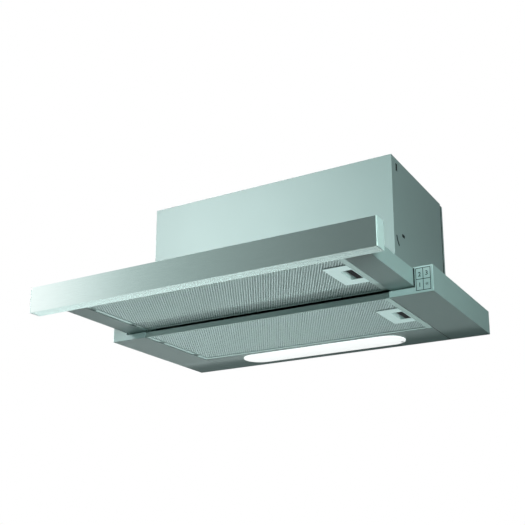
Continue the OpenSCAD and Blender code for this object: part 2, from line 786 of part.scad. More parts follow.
capacitor_r = 15;
capacitor_l = 52;
capacitor_x_share = 0.74;
capacitor_y_share = 0.25;
cap_edge_r = 3;
module capacitor() from_front() color(bright_steel)
  translate([housing_x * capacitor_x_share, housing_y + housing_d * capacitor_y_share,
             housing_top - sheet - capacitor_l])
    rotate_extrude() {
      square([capacitor_r - cap_edge_r, capacitor_l]);
      translate([0, cap_edge_r]) square([capacitor_r, capacitor_l - cap_edge_r]);
      translate([capacitor_r - cap_edge_r, cap_edge_r]) circle(r = cap_edge_r);
    }
terminal_box_l = 84;
terminal_box_w = 50;
terminal_box_h = 30;
terminal_wall = 2;
terminal_corner_r = 5;
module terminal_box() from_front() color(dark_plastic) gland_place() difference() {
  translate([0, 0, -sheet - terminal_box_h]) linear_extrude(terminal_box_h)
    round_rect(terminal_box_l, terminal_box_w, terminal_corner_r);
  translate([0, 0, -sheet - terminal_box_h + terminal_wall]) linear_extrude(terminal_box_h)
    round_rect(terminal_box_l - 2 * terminal_wall, terminal_box_w - 2 * terminal_wall,
               terminal_corner_r - terminal_wall);
}
gland_flange_r = 11;
gland_flange_h = 4;
gland_cap_r = 8.5;
gland_cap_h = 12;
cable_hole_r = 4;
module cable_gland() from_front() color(black) gland_place() difference() {
  union() {
    rod_z(gland_r - gland_clearance, -sheet - gland_flange_h, 0);
    cylinder(r = gland_flange_r, h = gland_flange_h, $fn = 6);
    rod_z(gland_cap_r, gland_flange_h, gland_cap_h);
  }
  rod_z(cable_hole_r, -sheet - gland_flange_h - cut, gland_cap_h + cut);
}

// Outlet

seat_ring_w = 3.5;
axle_rise = 9;
axle_z = collar_flange_t + axle_rise;
collar_in_r = collar_r - collar_wall;
knuckle_r = 3;
knuckle_pitch = 8.8;
flap_gap = 0.6;
flap_seat_z = axle_z - (flap_t + flap_gap) / 2;
axle_l = 2 * collar_r - collar_wall;
module outlet_collar() from_front() color(black) collar_place() difference() {
  union() {
    rod_z(collar_flange_r, 0, collar_flange_t);
    rod_z(collar_r, 0, collar_h);
  }
  rod_z(collar_in_r - seat_ring_w, -cut, collar_h + cut);
  rod_z(collar_in_r, flap_seat_z, collar_h + cut);
  rod_z(collar_in_r, -cut, flap_seat_z - collar_wall);
  translate([0, 0, axle_z]) rod_x(axle_r, -axle_l / 2, axle_l / 2);
  collar_screw_places() rod_z(screw_r, -cut, collar_flange_t + cut);
}
module flap_axle() from_front() color(bright_steel) collar_place() translate([0, 0, axle_z])
  rod_x(axle_r, -axle_l / 2, axle_l / 2);
// Middles of a flap's knuckles along the axle, in pitches; the other flap's lie between them
knuckle_places = [-2.25, 1.25, 3.25];
// Half a disc behind the axle with its knuckles
module flap() {
  r = collar_in_r - flap_gap;
  half = (knuckle_pitch - flap_gap) / 2;
  difference() {
    union() {
      translate([0, 0, -flap_t / 2]) intersection() {
        cylinder(r = r, h = flap_t);
        block([-r, knuckle_r + flap_gap, 0], [r, r, flap_t]);
      }
      for (p = knuckle_places) translate([p * knuckle_pitch, 0, 0]) {
        rod_x(knuckle_r, -half, half);
        block([-half, 0, -flap_t / 2], [half, knuckle_r + 2 * flap_gap, flap_t / 2]);
      }
    }
    rod_x(axle_r + axle_clearance, -r, r);
  }
}
module flap_rear() from_front() color(dark_plastic) collar_place() translate([0, 0, axle_z]) flap();
module flap_front() from_front() color(dark_plastic) collar_place() translate([0, 0, axle_z])
  rotate([0, 0, 180]) flap();

// Lamp

module lamp_cover() from_front() color(white) difference() {
  union() {
    translate([0, lamp_y, -lamp_cover_proud]) linear_extrude(lamp_cover_proud) lamp_outline(0);
    intersection() {
      translate([0, lamp_y, 0]) linear_extrude(sheet) lamp_outline(-lamp_seat_w - seam);
      block([-lamp_open_x + seam, light_panel_y, 0], [lamp_open_x - seam, back_y, sheet]);
    }
  }
  cover_screw_place() rod_z(screw_r, -lamp_cover_proud - cut, cut);
}
module lamp_cover_screw() from_front() color(zinc) cover_screw_place()
  translate([0, 0, -lamp_cover_proud]) rotate([180, 0, 0]) screw(lamp_cover_proud + sheet);

lamp_z = bulb_r + 2 * sheet;
holder_l = 34;
lamp_base_l = 26;
holder_x_share = 0.95;
holder_x = lamp_cover_l / 2 * holder_x_share;
bulb_x = holder_x - holder_l;
holder_foot_t = 3;
module lamps() from_front() color(white) both_sides() translate([bulb_x, lamp_y, lamp_z])
  rotate([0, -90, 0]) rotate_extrude() {
    translate([0, -lamp_base_l]) square([lamp_base_r, lamp_base_l]);
    polygon(bulb_profile());
  }
// Candle shape: a quarter sine up to the widest place, then a cosine to the tip
bulb_wide_share = 0.35;
bulb_steps = 10;
function bulb_radius(s) = s < bulb_wide_share
  ? lamp_base_r + (bulb_r - lamp_base_r) * sin(90 * s / bulb_wide_share)
  : bulb_r * cos(90 * (s - bulb_wide_share) / (1 - bulb_wide_share));
function bulb_profile() = concat([[0, 0]],
  [for (i = [0:bulb_steps - 1]) [bulb_radius(i / bulb_steps), bulb_l * i / bulb_steps]], [[0, bulb_l]]);
module lamp_holders() from_front() color(white) both_sides()
  translate([bulb_x, lamp_y, lamp_z]) difference() {
    union() {
      rod_x(holder_r, 0, holder_l);
      block([holder_l - holder_foot_t, -holder_r, sheet - lamp_z], [holder_l, holder_r, 0]);
    }
    rod_x(lamp_base_r, -cut, lamp_base_l);
  }
reflector_x = lamp_cover_l / 2 + 2 * lamp_seat_w;
reflector_y = lamp_cover_w / 2 + lamp_seat_w;
reflector_t = sheet / 2;
reflector_z = lamp_z + bulb_r + 2 * reflector_t;
module reflector() from_front() color(bright_steel) translate([0, lamp_y, 0]) {
  block([-reflector_x, -reflector_y, reflector_z - reflector_t], [reflector_x, reflector_y, reflector_z]);
  for (s = [0, 1]) mirror([0, s, 0])
    block([-reflector_x, reflector_y - reflector_t, sheet], [reflector_x, reflector_y, reflector_z]);
}

// Slides, all drawn on the right

rail_x1 = visor_x + slide_d;
middle_l = (rail_y1 - rail_y0) * middle_share;
flange_x0 = visor_x + rail_t + rail_gap;
middle_h = slide_h - 2 * rail_t - 2 * rail_gap;
inner_h = middle_h - 2 * rail_t - 2 * rail_gap;
// A C shaped rail, open towards the middle of the hood
module c_rail(x0, x1, h, y0, y1) {
  difference() {
    block([x0, y0, slide_z - h / 2], [x1, y1, slide_z + h / 2]);
    block([x0 - cut, y0 - cut, slide_z - h / 2 + rail_t],
          [x1 - rail_t, y1 + cut, slide_z + h / 2 - rail_t]);
  }
}
module slide_rail() c_rail(flange_x0, rail_x1, slide_h, rail_y0, rail_y1);
module slide_middle()
  c_rail(flange_x0, rail_x1 - rail_t - rail_gap, middle_h, rail_y0 + rail_t, rail_y0 + rail_t + middle_l);
inner_x1 = rail_x1 - 2 * rail_t - 2 * rail_gap;
module slide_inner() {
  difference() {
    block([visor_x, rail_y0, slide_z - inner_h / 2], [inner_x1, visor_end, slide_z + inner_h / 2]);
    block([visor_x + rail_t, rail_y0 - cut, slide_z - inner_h / 2 + rail_t],
          [inner_x1 + cut, visor_end + cut, slide_z + inner_h / 2 - rail_t]);
  }
}
module slide_bracket() {
  block([rail_x1, rail_y0, sheet], [rail_x1 + rail_t, rail_y1, slide_z + slide_h / 2]);
  block([rail_x1, rail_y0, sheet], [rail_x1 + bracket_foot_w, rail_y1, sheet + rail_t]);
}
module slide_rail_right() from_front() color(zinc) slide_rail();
module slide_rail_left() from_front() color(zinc) mirror([1, 0, 0]) slide_rail();
module slide_middle_right() from_front() color(bright_steel) slide_middle();
module slide_middle_left() from_front() color(bright_steel) mirror([1, 0, 0]) slide_middle();
module slide_inner_right() from_front() color(zinc) slide_inner();
module slide_inner_left() from_front() color(zinc) mirror([1, 0, 0]) slide_inner();
module slide_bracket_right() from_front() color(steel) slide_bracket();
module slide_bracket_left() from_front() color(steel) mirror([1, 0, 0]) slide_bracket();

// Visor

fascia_screw_shares = [-0.85, -0.3, 0.3, 0.85];
// The screws pass below the visor's cover, and the fascia's upper lip reaches down past them
fascia_screw_z = visor_top - 2 * sheet - screw_head_r - filter_gap;
upper_lip_z = fascia_screw_z - screw_head_r - sheet;
module fascia_screw_places() {
  for (s = fascia_screw_shares)
    translate([visor_x * s, fascia_rear + sheet, fascia_screw_z]) children();
}
// A side arm of the visor, drawn on the right: side wall, floor, inner lip and top fold
module visor_arm() {
  block([visor_x - sheet, fascia_rear, visor_z], [visor_x, visor_end, visor_top]);
  block([open_x, fascia_rear, visor_z], [visor_x, visor_end, visor_z + sheet]);
  block([open_x, fascia_rear, visor_z], [open_x + sheet, visor_end, visor_z + filter_h]);
  block([visor_x - visor_fold_w, fascia_rear, visor_top - sheet], [visor_x, visor_end, visor_top]);
}
front_filter_mid = front_filter_y + front_filter_d / 2;
module visor_tray() from_front() color(steel) {
  difference() {
    union() {
      both_sides() visor_arm();
      block([-visor_x, fascia_rear, visor_z], [visor_x, fascia_rear + sheet, visor_top]);
    }
    strike_slot(front_filter_mid, visor_z);
    fascia_screw_places() rod_y(screw_r, -sheet - cut, cut);
  }
  hooks(front_filter_y, front_filter_d, visor_z);
}
module visor_cover() from_front() color(steel)
  block([-visor_x + sheet, fascia_rear + sheet, visor_top - 2 * sheet],
        [visor_x - sheet, rear_filter_y - filter_row_gap, visor_top - sheet]);

fascia_front = fascia_rear - fascia_d;
fascia_top = fascia_z + fascia_h;
module fascia() from_front() color(bright_steel) difference() {
  x = hood_w / 2 - end_cap_t;
  block([-x, fascia_front, fascia_z], [x, fascia_rear, fascia_top]);
  block([-x - cut, fascia_front + sheet, fascia_z + sheet],
        [x + cut, fascia_rear - sheet, fascia_top - sheet]);
  block([-x - cut, fascia_rear - sheet - cut, fascia_z + fascia_lip_h],
        [x + cut, fascia_rear + cut, upper_lip_z]);
  fascia_screw_places() rod_y(screw_r, -2 * sheet - cut, cut);
}
module fascia_end_caps() from_front() color(plastic_grey) both_sides() {
  x = hood_w / 2 - end_cap_t;
  block([x, fascia_front, fascia_z], [hood_w / 2, fascia_rear, fascia_top]);
  difference() {
    block([x - end_cap_plug_l, fascia_front + sheet, fascia_z + sheet],
          [x, fascia_rear - sheet, fascia_top - sheet]);
    block([x - end_cap_plug_l - cut, fascia_front + 2 * sheet, fascia_z + 2 * sheet],
          [x + cut, fascia_rear - 2 * sheet, fascia_top - 2 * sheet]);
  }
}
module fascia_screws() from_front() color(zinc)
  fascia_screw_places() rotate([-90, 0, 0]) screw(2 * sheet);

// Grease filters; y0 and z0 are a filter's front edge and its underside

hook_shares = [0.22, 0.78];
hinge_x = -filter_x + bead_r;
// The hooks that hold a filter's left edge, carried by the lip beside it
module hooks(y0, depth, z0) {
  for (s = hook_shares) translate([hinge_x, y0 + depth * s, z0 + bead_r]) difference() {
    union() {
      rod_y(hook_r, -hook_l / 2, hook_l / 2);
      block([-open_x - hinge_x, -hook_l / 2, 0], [0, hook_l / 2, hook_r]);
    }
    rod_y(hook_pin_r + hook_clearance, -hook_l / 2 - cut, hook_l / 2 + cut);
  }
}
// The slot in the right lip that the tongue faces
tongue_z = 2.2;
module strike_slot(y, z0) {
  block([open_x - cut, y - tongue_w / 2 - latch_gap, z0 + tongue_z - latch_gap],
        [open_x + sheet + cut, y + tongue_w / 2 + latch_gap, z0 + tongue_z + tongue_h + latch_gap]);
}
pocket_x = filter_x - rim_w;
cavity_x0 = -filter_x + notch_w + foil;
module filter_frame(y0, depth, z0, front_rim, rear_rim) from_front() color(aluminium) {
  notch_l = hook_l + 2 * notch_gap;
  mid = y0 + depth / 2;
  difference() {
    union() {
      block([hinge_x, y0, z0], [filter_x, y0 + depth, z0 + filter_h]);
      block([-filter_x, y0, z0 + bead_r], [hinge_x, y0 + depth, z0 + filter_h]);
      translate([hinge_x, 0, z0 + bead_r]) rod_y(bead_r, y0, y0 + depth);
    }
    block([cavity_x0, y0 + foil, z0 + foil], [filter_x - foil, y0 + depth - foil, z0 + filter_h - foil]);
    block([-filter_x + rim_w, y0 + front_rim, z0 - cut],
          [filter_x - rim_w, y0 + depth - rear_rim, z0 + filter_h + cut]);
    for (s = hook_shares)
      block([-filter_x - cut, y0 + depth * s - notch_l / 2, z0 - cut],
            [-filter_x + notch_w, y0 + depth * s + notch_l / 2, z0 + filter_h + cut]);
    block([filter_x - foil - cut, mid - tongue_w / 2 - latch_gap, z0 + tongue_z - latch_gap],
          [filter_x + cut, mid + tongue_w / 2 + latch_gap, z0 + tongue_z + tongue_h + latch_gap]);
  }
  for (s = hook_shares)
    translate([hinge_x, 0, z0 + bead_r])
      rod_y(hook_pin_r, y0 + depth * s - notch_l / 2, y0 + depth * s + notch_l / 2);
}
// A pleated sheet of expanded aluminium fills the frame, cut away round the latch
module filter_mesh(y0, depth, z0) from_front() color(mesh_grey) {
  x0 = cavity_x0;
  x1 = filter_x - foil;
  n = floor((x1 - x0) / pleat_pitch);
  pitch = (x1 - x0) / n;
  low = z0 + foil;
  high = z0 + filter_h - foil - pleat_t;
  mid = y0 + depth / 2;
  points = [for (i = [0:2 * n]) [x0 + i * pitch / 2, i % 2 == 0 ? low : high]];
  difference() {
    translate([0, y0 + depth - foil, 0]) rotate([90, 0, 0]) linear_extrude(depth - 2 * foil)
      polygon(concat(points, [for (p = reversed(points)) p + [0, pleat_t]]));
    block([pocket_x - recess_w - 2 * foil - seam, mid - recess_l / 2 - foil - seam, z0 - cut],
          [filter_x, mid + recess_l / 2 + foil + seam, z0 + filter_h + cut]);
  }
}
recess_x0 = pocket_x - recess_w - foil;
recess_x1 = recess_x0 + recess_w;
ramp_w = recess_w - grip_w - latch_travel - latch_gap;
post_y_share = 0.33;
post_w = 1.4;
module latch_plate(y0, depth, z0) from_front() color(aluminium) translate([0, y0 + depth / 2, z0]) {
  difference() {
    block([pocket_x - latch_plate_w, -latch_plate_l / 2, -latch_plate_t / 2],
          [pocket_x, latch_plate_l / 2, latch_plate_t / 2]);
    block([recess_x0, -recess_l / 2, -cut], [recess_x1, recess_l / 2, cut]);
  }
  // Ceiling and walls of the recess, open towards the tongue
  block([recess_x0 - foil, -recess_l / 2 - foil, recess_h],
        [recess_x1, recess_l / 2 + foil, recess_h + foil]);
  for (s = [0, 1]) mirror([0, s, 0])
    block([recess_x0 - foil, recess_l / 2, 0], [recess_x1, recess_l / 2 + foil, recess_h + foil]);
  // Sloped wall for the finger
  translate([0, recess_l / 2, 0]) rotate([90, 0, 0]) linear_extrude(recess_l)
    polygon([[recess_x0 - foil, 0], [recess_x0, -latch_plate_t / 2], [recess_x0 + ramp_w, recess_h],
             [recess_x0 - foil, recess_h]]);
  // Posts that the springs push against
  for (s = [-1, 1])
    block([recess_x1 - grip_w + latch_travel / 2, s * recess_l * post_y_share - post_w, recess_h / 2],
          [recess_x1 - grip_w + latch_travel / 2 + post_w, s * recess_l * post_y_share + post_w, recess_h]);
}
grip_x0 = recess_x1 - grip_w;
grip_x1 = recess_x1 - latch_gap;
groove_w = 3.4;
tongue_end = filter_x - filter_gap / 2;
module latch_slider(y0, depth, z0) from_front() color(black) translate([0, y0 + depth / 2, z0]) {
  difference() {
    block([grip_x0, -recess_l / 2 + latch_gap, latch_gap],
          [grip_x1, recess_l / 2 - latch_gap, recess_h - latch_gap]);
    for (s = [-1, 1])
      block([grip_x0 - cut, s * recess_l * post_y_share - groove_w / 2, recess_h / 2 - latch_gap],
            [grip_x1 - post_w, s * recess_l * post_y_share + groove_w / 2, recess_h]);
  }
  block([grip_x1 - cut, -tongue_w / 2, tongue_z], [tongue_end, tongue_w / 2, tongue_z + tongue_h]);
}
// Wave springs between the posts and the ends of the slider's grooves
wave_n = 4;
wave_t = 0.3;
module latch_spring(y0, depth, z0) from_front() color(bright_steel) translate([0, y0 + depth / 2, z0])
  for (s = [-1, 1]) {
    x0 = grip_x0 + latch_travel / 2 + post_w;
    x1 = grip_x1 - post_w;
    half = groove_w / 2 - 2 * wave_t;
    points = [for (i = [0:wave_n]) [x0 + (x1 - x0) * i / wave_n, (i % 2 == 0 ? -1 : 1) * half]];
    translate([0, s * recess_l * post_y_share, recess_h / 2])
      linear_extrude(recess_h / 2 - latch_gap)
        polygon(concat([for (p = points) p - [0, wave_t]], [for (p = reversed(points)) p + [0, wave_t]]));
  }

module front_filter_frame() filter_frame(front_filter_y, front_filter_d, visor_z, rim_w, rim_thin_w);
module rear_filter_frame() filter_frame(rear_filter_y, rear_filter_d, 0, rim_thin_w, rim_w);
module front_filter_mesh() filter_mesh(front_filter_y, front_filter_d, visor_z);
module rear_filter_mesh() filter_mesh(rear_filter_y, rear_filter_d, 0);
module front_latch_plate() latch_plate(front_filter_y, front_filter_d, visor_z);
module rear_latch_plate() latch_plate(rear_filter_y, rear_filter_d, 0);
module front_latch_slider() latch_slider(front_filter_y, front_filter_d, visor_z);
module rear_latch_slider() latch_slider(rear_filter_y, rear_filter_d, 0);
module front_latch_spring() latch_spring(front_filter_y, front_filter_d, visor_z);
module rear_latch_spring() latch_spring(rear_filter_y, rear_filter_d, 0);

base_cover();
side_channel_right();
side_channel_left();
light_panel();
control_bezel();
front_cap();
control_board();
motor_housing();
housing_top();
rear_panel();
rear_seal();
scroll_body();
scroll_cover();
motor();
motor_bracket();
capacitor();
terminal_box();
cable_gland();
outlet_collar();
flap_axle();
lamp_cover();
lamp_cover_screw();
lamps();
lamp_holders();
reflector();
slide_rail_right();
slide_rail_left();
slide_bracket_right();
slide_bracket_left();
housing_screws();
rear_panel_screws();
collar_screws();
visor_tray();
visor_cover();
fascia();
fascia_end_caps();
fascia_screws();
slide_inner_right();
slide_inner_left();
slide_middle_right();
slide_middle_left();
front_filter_frame();
front_filter_mesh();
front_latch_plate();
front_latch_slider();
front_latch_spring();
rear_filter_frame();
rear_filter_mesh();
rear_latch_plate();
rear_latch_slider();
rear_latch_spring();
impeller();
impeller_shaft();
flap_front();
flap_rear();
button_1();
button_2();
button_3();
button_light();
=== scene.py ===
"""Dress the pull out range hood: finishes, filter meshes, button marks, light and camera.

Every length is in metres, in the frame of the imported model: +X to the right, +Y towards the
wall and +Z up, from the middle of the four cabinet screws on the base's top face.
"""

import json
import logging
import math
from dataclasses import dataclass, field
from enum import Enum

import bmesh
import bpy
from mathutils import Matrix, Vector


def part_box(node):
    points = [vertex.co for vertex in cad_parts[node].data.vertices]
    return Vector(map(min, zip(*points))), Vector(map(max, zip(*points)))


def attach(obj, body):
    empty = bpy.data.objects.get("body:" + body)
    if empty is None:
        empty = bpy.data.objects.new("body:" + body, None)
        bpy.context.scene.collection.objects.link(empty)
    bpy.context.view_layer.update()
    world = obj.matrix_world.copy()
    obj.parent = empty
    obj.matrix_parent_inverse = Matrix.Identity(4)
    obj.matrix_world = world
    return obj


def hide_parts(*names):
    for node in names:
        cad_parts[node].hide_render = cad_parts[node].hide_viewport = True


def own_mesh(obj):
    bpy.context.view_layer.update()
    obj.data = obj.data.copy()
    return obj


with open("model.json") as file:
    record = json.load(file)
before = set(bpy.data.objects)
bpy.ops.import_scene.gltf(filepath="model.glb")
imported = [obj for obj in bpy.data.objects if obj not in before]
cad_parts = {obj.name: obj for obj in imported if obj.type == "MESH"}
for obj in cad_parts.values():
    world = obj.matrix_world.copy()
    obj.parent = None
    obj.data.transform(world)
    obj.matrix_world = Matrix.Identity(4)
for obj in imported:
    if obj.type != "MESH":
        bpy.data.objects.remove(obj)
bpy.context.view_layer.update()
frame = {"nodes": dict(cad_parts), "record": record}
MM = 0.001

log = logging.getLogger("range_hood")

Colour = tuple[float, float, float]
Place = tuple[float, float, float]
Span = tuple[float, float]
Limits = tuple[float, float, float, float]
Corners = list[Vector | Place]
Faces = list[tuple[int, ...]]
Outline = list[tuple[float, float]]
Section = tuple[tuple[float, float], ...]

WHITE: Colour = (1.0, 1.0, 1.0)
SHADE: Colour = (0.8, 1.0, 0.975)


class Grain(Enum):
    """The way a brushed or rolled finish runs."""

    ALONG_X = (1.0, 60.0, 60.0)
    ALONG_Y = (60.0, 1.0, 60.0)
    NONE = (1.0, 1.0, 1.0)


# Node graphs


class Graph:
    """A thin helper that builds one material's node graph."""

    blend: Span = (0.3, 0.7)

    def __init__(self, name: str) -> None:
        """Make an empty material.

        Args:
            name: The material's name.
        """
        self.material = bpy.data.materials.new(name)
        self.material.use_nodes = True
        self.tree = self.material.node_tree
        self.tree.nodes.clear()
        self.output = self.add("ShaderNodeOutputMaterial")

    def add(self, kind: str, values: dict | None = None, **settings: object) -> bpy.types.Node:
        """Add a node.

        Args:
            kind: The node's type.
            values: Constant values for its input sockets, by socket name.
            settings: Properties of the node.

        Returns:
            The new node.
        """
        node = self.tree.nodes.new(kind)
        for key, value in settings.items():
            setattr(node, key, value)
        for key, value in (values or {}).items():
            node.inputs[key].default_value = value
        return node

    def link(self, source: bpy.types.NodeSocket, target: bpy.types.NodeSocket) -> None:
        """Link an output socket to an input socket."""
        self.tree.links.new(source, target)

    def surface(self, values: dict) -> bpy.types.Node:
        """Add the Principled shader and link it to the output.

        Args:
            values: Constant values for its sockets.

        Returns:
            The shader node.
        """
        shader = self.add("ShaderNodeBsdfPrincipled", values)
        self.link(shader.outputs["BSDF"], self.output.inputs["Surface"])
        return shader

    def noise(self, scale: float, grain: Grain = Grain.NONE, detail: float = 3.0,
              roughness: float = 0.5) -> bpy.types.NodeSocket:
        """Add a noise texture in the object's own space.

        Args:
            scale: Cells per metre.
            grain: How the noise is stretched.
            detail: The noise's octaves.
            roughness: How strong the finer octaves are.

        Returns:
            The noise's value socket.
        """
        place = self.add("ShaderNodeTexCoord")
        stretch = self.add("ShaderNodeMapping", {"Scale": grain.value})
        self.link(place.outputs["Object"], stretch.inputs["Vector"])
        texture = self.add("ShaderNodeTexNoise",
                           {"Scale": scale, "Detail": detail, "Roughness": roughness})
        self.link(stretch.outputs["Vector"], texture.inputs["Vector"])
        return texture.outputs["Fac"]

    def ramp(self, value: bpy.types.NodeSocket, low: float,
             high: float) -> bpy.types.NodeSocket:
        """Spread a value from 0..1 over low..high.

        Args:
            value: The socket to spread.
            low: What 0 becomes.
            high: What 1 becomes.

        Returns:
            The spread value's socket.
        """
        node = self.add("ShaderNodeMapRange", {"To Min": low, "To Max": high})
        self.link(value, node.inputs["Value"])
        return node.outputs["Result"]

    def clouds(self, colour: Colour, spread: float, scale: float) -> bpy.types.NodeSocket:
        """Return a colour clouded by a share of its tone, with so many clouds per metre."""
        return self.tones(self.noise(scale, detail=2.0), tint(colour, 1 - spread),
                          tint(colour, 1 + spread))

    def tones(self, value: bpy.types.NodeSocket, dark: Colour,
              light: Colour) -> bpy.types.NodeSocket:
        """Blend two tones by a value.

        Args:
            value: The socket that blends them.
            dark: The tone at the low end.
            light: The tone at the high end.

        Returns:
            The colour socket.
        """
        node = self.add("ShaderNodeValToRGB")
        stops = node.color_ramp.elements
        stops[0].position, stops[1].position = self.blend
        stops[0].color, stops[1].color = (*dark, 1.0), (*light, 1.0)
        self.link(value, node.inputs["Fac"])
        return node.outputs["Color"]

    def bump(self, shader: bpy.types.Node, value: bpy.types.NodeSocket, depth: float,
             strength: float = 1.0) -> None:
        """Bump a shader's surface.

        Args:
            shader: The shader.
            value: The height's socket.
            depth: The height's real size.
            strength: How much of it shows.
        """
        node = self.add("ShaderNodeBump", {"Strength": strength, "Distance": depth})
        self.link(value, node.inputs["Height"])
        self.link(node.outputs["Normal"], shader.inputs["Normal"])


def tint(colour: Colour, factor: float) -> Colour:
    """Return the colour made lighter or darker by a factor."""
    return tuple(min(1.0, channel * factor) for channel in colour)


def paper_tone(tone: float) -> Colour:
    """Return a card's colour: white where it is bright, a cool green grey where it is dark."""
    return tuple(tone * (channel + (1 - channel) * tone ** 3) for channel in SHADE)


# Finishes


@dataclass(frozen=True)
class Coated:
    """A satin coat on folded sheet: soft clouds of tone and a very fine skin."""

    name: str
    colour: Colour
    roughness: float
    specular: float = 0.5
    smoother: float = 0.04
    rougher: float = 0.05
    clouds: float = 0.03
    cloud_scale: float = 6.0
    patch_scale: float = 54.0
    skin_scale: float = 900.0
    skin_depth: float = 0.04 * MM
    skin_strength: float = 0.5

    def build(self) -> bpy.types.Material:
        """Build the finish.

        Returns:
            The material.
        """
        g = Graph(self.name)
        shader = g.surface({"Specular IOR Level": self.specular})
        tone = g.clouds(self.colour, self.clouds, self.cloud_scale)
        g.link(tone, shader.inputs["Base Color"])
        gloss = g.ramp(g.noise(self.patch_scale), self.roughness - self.smoother,
                       self.roughness + self.rougher)
        g.link(gloss, shader.inputs["Roughness"])
        skin = g.noise(self.skin_scale, detail=2.0)
        g.bump(shader, skin, self.skin_depth, self.skin_strength)
        return g.material


@dataclass(frozen=True)
class Brushed:
    """Bare metal with a brushed or rolled grain."""

    name: str
    colour: Colour
    roughness: float
    grain: Grain = Grain.ALONG_X
    grain_scale: float = 70.0
    grain_depth: float = 0.03 * MM
    grain_strength: float = 0.6
    darkest: float = 0.93
    lightest: float = 1.05
    sheen_spread: float = 0.06

    def build(self) -> bpy.types.Material:
        """Build the finish.

        Returns:
            The material.
        """
        g = Graph(self.name)
        shader = g.surface({"Metallic": 1.0})
        lines = g.noise(self.grain_scale, self.grain, detail=6.0, roughness=0.65)
        tone = g.tones(lines, tint(self.colour, self.darkest), tint(self.colour, self.lightest))
        g.link(tone, shader.inputs["Base Color"])
        gloss = g.ramp(lines, self.roughness - self.sheen_spread,
                       self.roughness + self.sheen_spread)
        g.link(gloss, shader.inputs["Roughness"])
        g.bump(shader, lines, self.grain_depth, self.grain_strength)
        return g.material


@dataclass(frozen=True)
class Moulded:
    """Moulded plastic with a fine spark texture."""

    name: str
    colour: Colour
    roughness: float = 0.5
    specular: float = 0.5
    smoother: float = 0.06
    rougher: float = 0.08
    clouds: float = 0.04
    cloud_scale: float = 14.0
    texture_scale: float = 1600.0
    texture_depth: float = 0.05 * MM
    texture_strength: float = 0.7

    def build(self) -> bpy.types.Material:
        """Build the finish.

        Returns:
            The material.
        """
        g = Graph(self.name)
        shader = g.surface({"Specular IOR Level": self.specular})
        spark = g.noise(self.texture_scale, detail=2.0)
        tone = g.clouds(self.colour, self.clouds, self.cloud_scale)
        g.link(tone, shader.inputs["Base Color"])
        gloss = g.ramp(spark, self.roughness - self.smoother, self.roughness + self.rougher)
        g.link(gloss, shader.inputs["Roughness"])
        g.bump(shader, spark, self.texture_depth, self.texture_strength)
        return g.material


@dataclass(frozen=True)
class LitDiffuser:
    """An opal cover with lamps alight behind it."""

    name: str
    colour: Colour = (0.97, 0.985, 0.98)
    roughness: float = 0.35
    glow: float = 0.85
    frost: float = 0.02
    frost_scale: float = 900.0
    frost_depth: float = 0.05 * MM
    frost_strength: float = 0.3
    unevenness: float = 0.03
    glow_scale: float = 7.0

    def build(self) -> bpy.types.Material:
        """Build the finish.

        Returns:
            The material.
        """
        g = Graph(self.name)
        shader = g.surface({"Roughness": self.roughness, "Emission Strength": self.glow})
        frost = g.noise(self.frost_scale, detail=2.0)
        g.link(g.tones(frost, tint(self.colour, 1 - self.frost), self.colour),
               shader.inputs["Base Color"])
        glow = g.tones(g.noise(self.glow_scale, detail=1.0),
                       tint(self.colour, 1 - self.unevenness), self.colour)
        g.link(glow, shader.inputs["Emission Color"])
        g.bump(shader, frost, self.frost_depth, self.frost_strength)
        return g.material


@dataclass(frozen=True)
class LampGlass:
    """The opal glass and plated screw base of a small lamp."""

    name: str
    colour: Colour = (0.95, 0.94, 0.9)
    light: Colour = (1.0, 0.97, 0.9)
    roughness: float = 0.2
    coat: float = 0.4
    glow: float = 0.6
    clouds: float = 0.03
    cloud_scale: float = 40.0

    def build(self) -> bpy.types.Material:
        """Build the finish.

        Returns:
            The material.
        """
        g = Graph(self.name)
        shader = g.surface({"Roughness": self.roughness, "Coat Weight": self.coat,
                            "Emission Color": (*self.light, 1.0),
                            "Emission Strength": self.glow})
        tone = g.tones(g.noise(self.cloud_scale), tint(self.colour, 1 - self.clouds),
                       self.colour)
        g.link(tone, shader.inputs["Base Color"])
        return g.material


@dataclass(frozen=True)
class Board:
    """A coated circuit board with a faint weave."""

    name: str
    colour: Colour = (0.03, 0.16, 0.07)
    roughness: float = 0.35
    coat: float = 0.3
    weave: float = 0.15
    weave_scale: float = 1200.0
    weave_depth: float = 0.03 * MM
    weave_strength: float = 0.4

    def build(self) -> bpy.types.Material:
        """Build the finish.

        Returns:
            The material.
        """
        g = Graph(self.name)
        shader = g.surface({"Roughness": self.roughness, "Coat Weight": self.coat})
        weave = g.noise(self.weave_scale, Grain.ALONG_X, detail=2.0)
        tone = g.tones(weave, tint(self.colour, 1 - self.weave),
                       tint(self.colour, 1 + self.weave))
        g.link(tone, shader.inputs["Base Color"])
        g.bump(shader, weave, self.weave_depth, self.weave_strength)
        return g.material


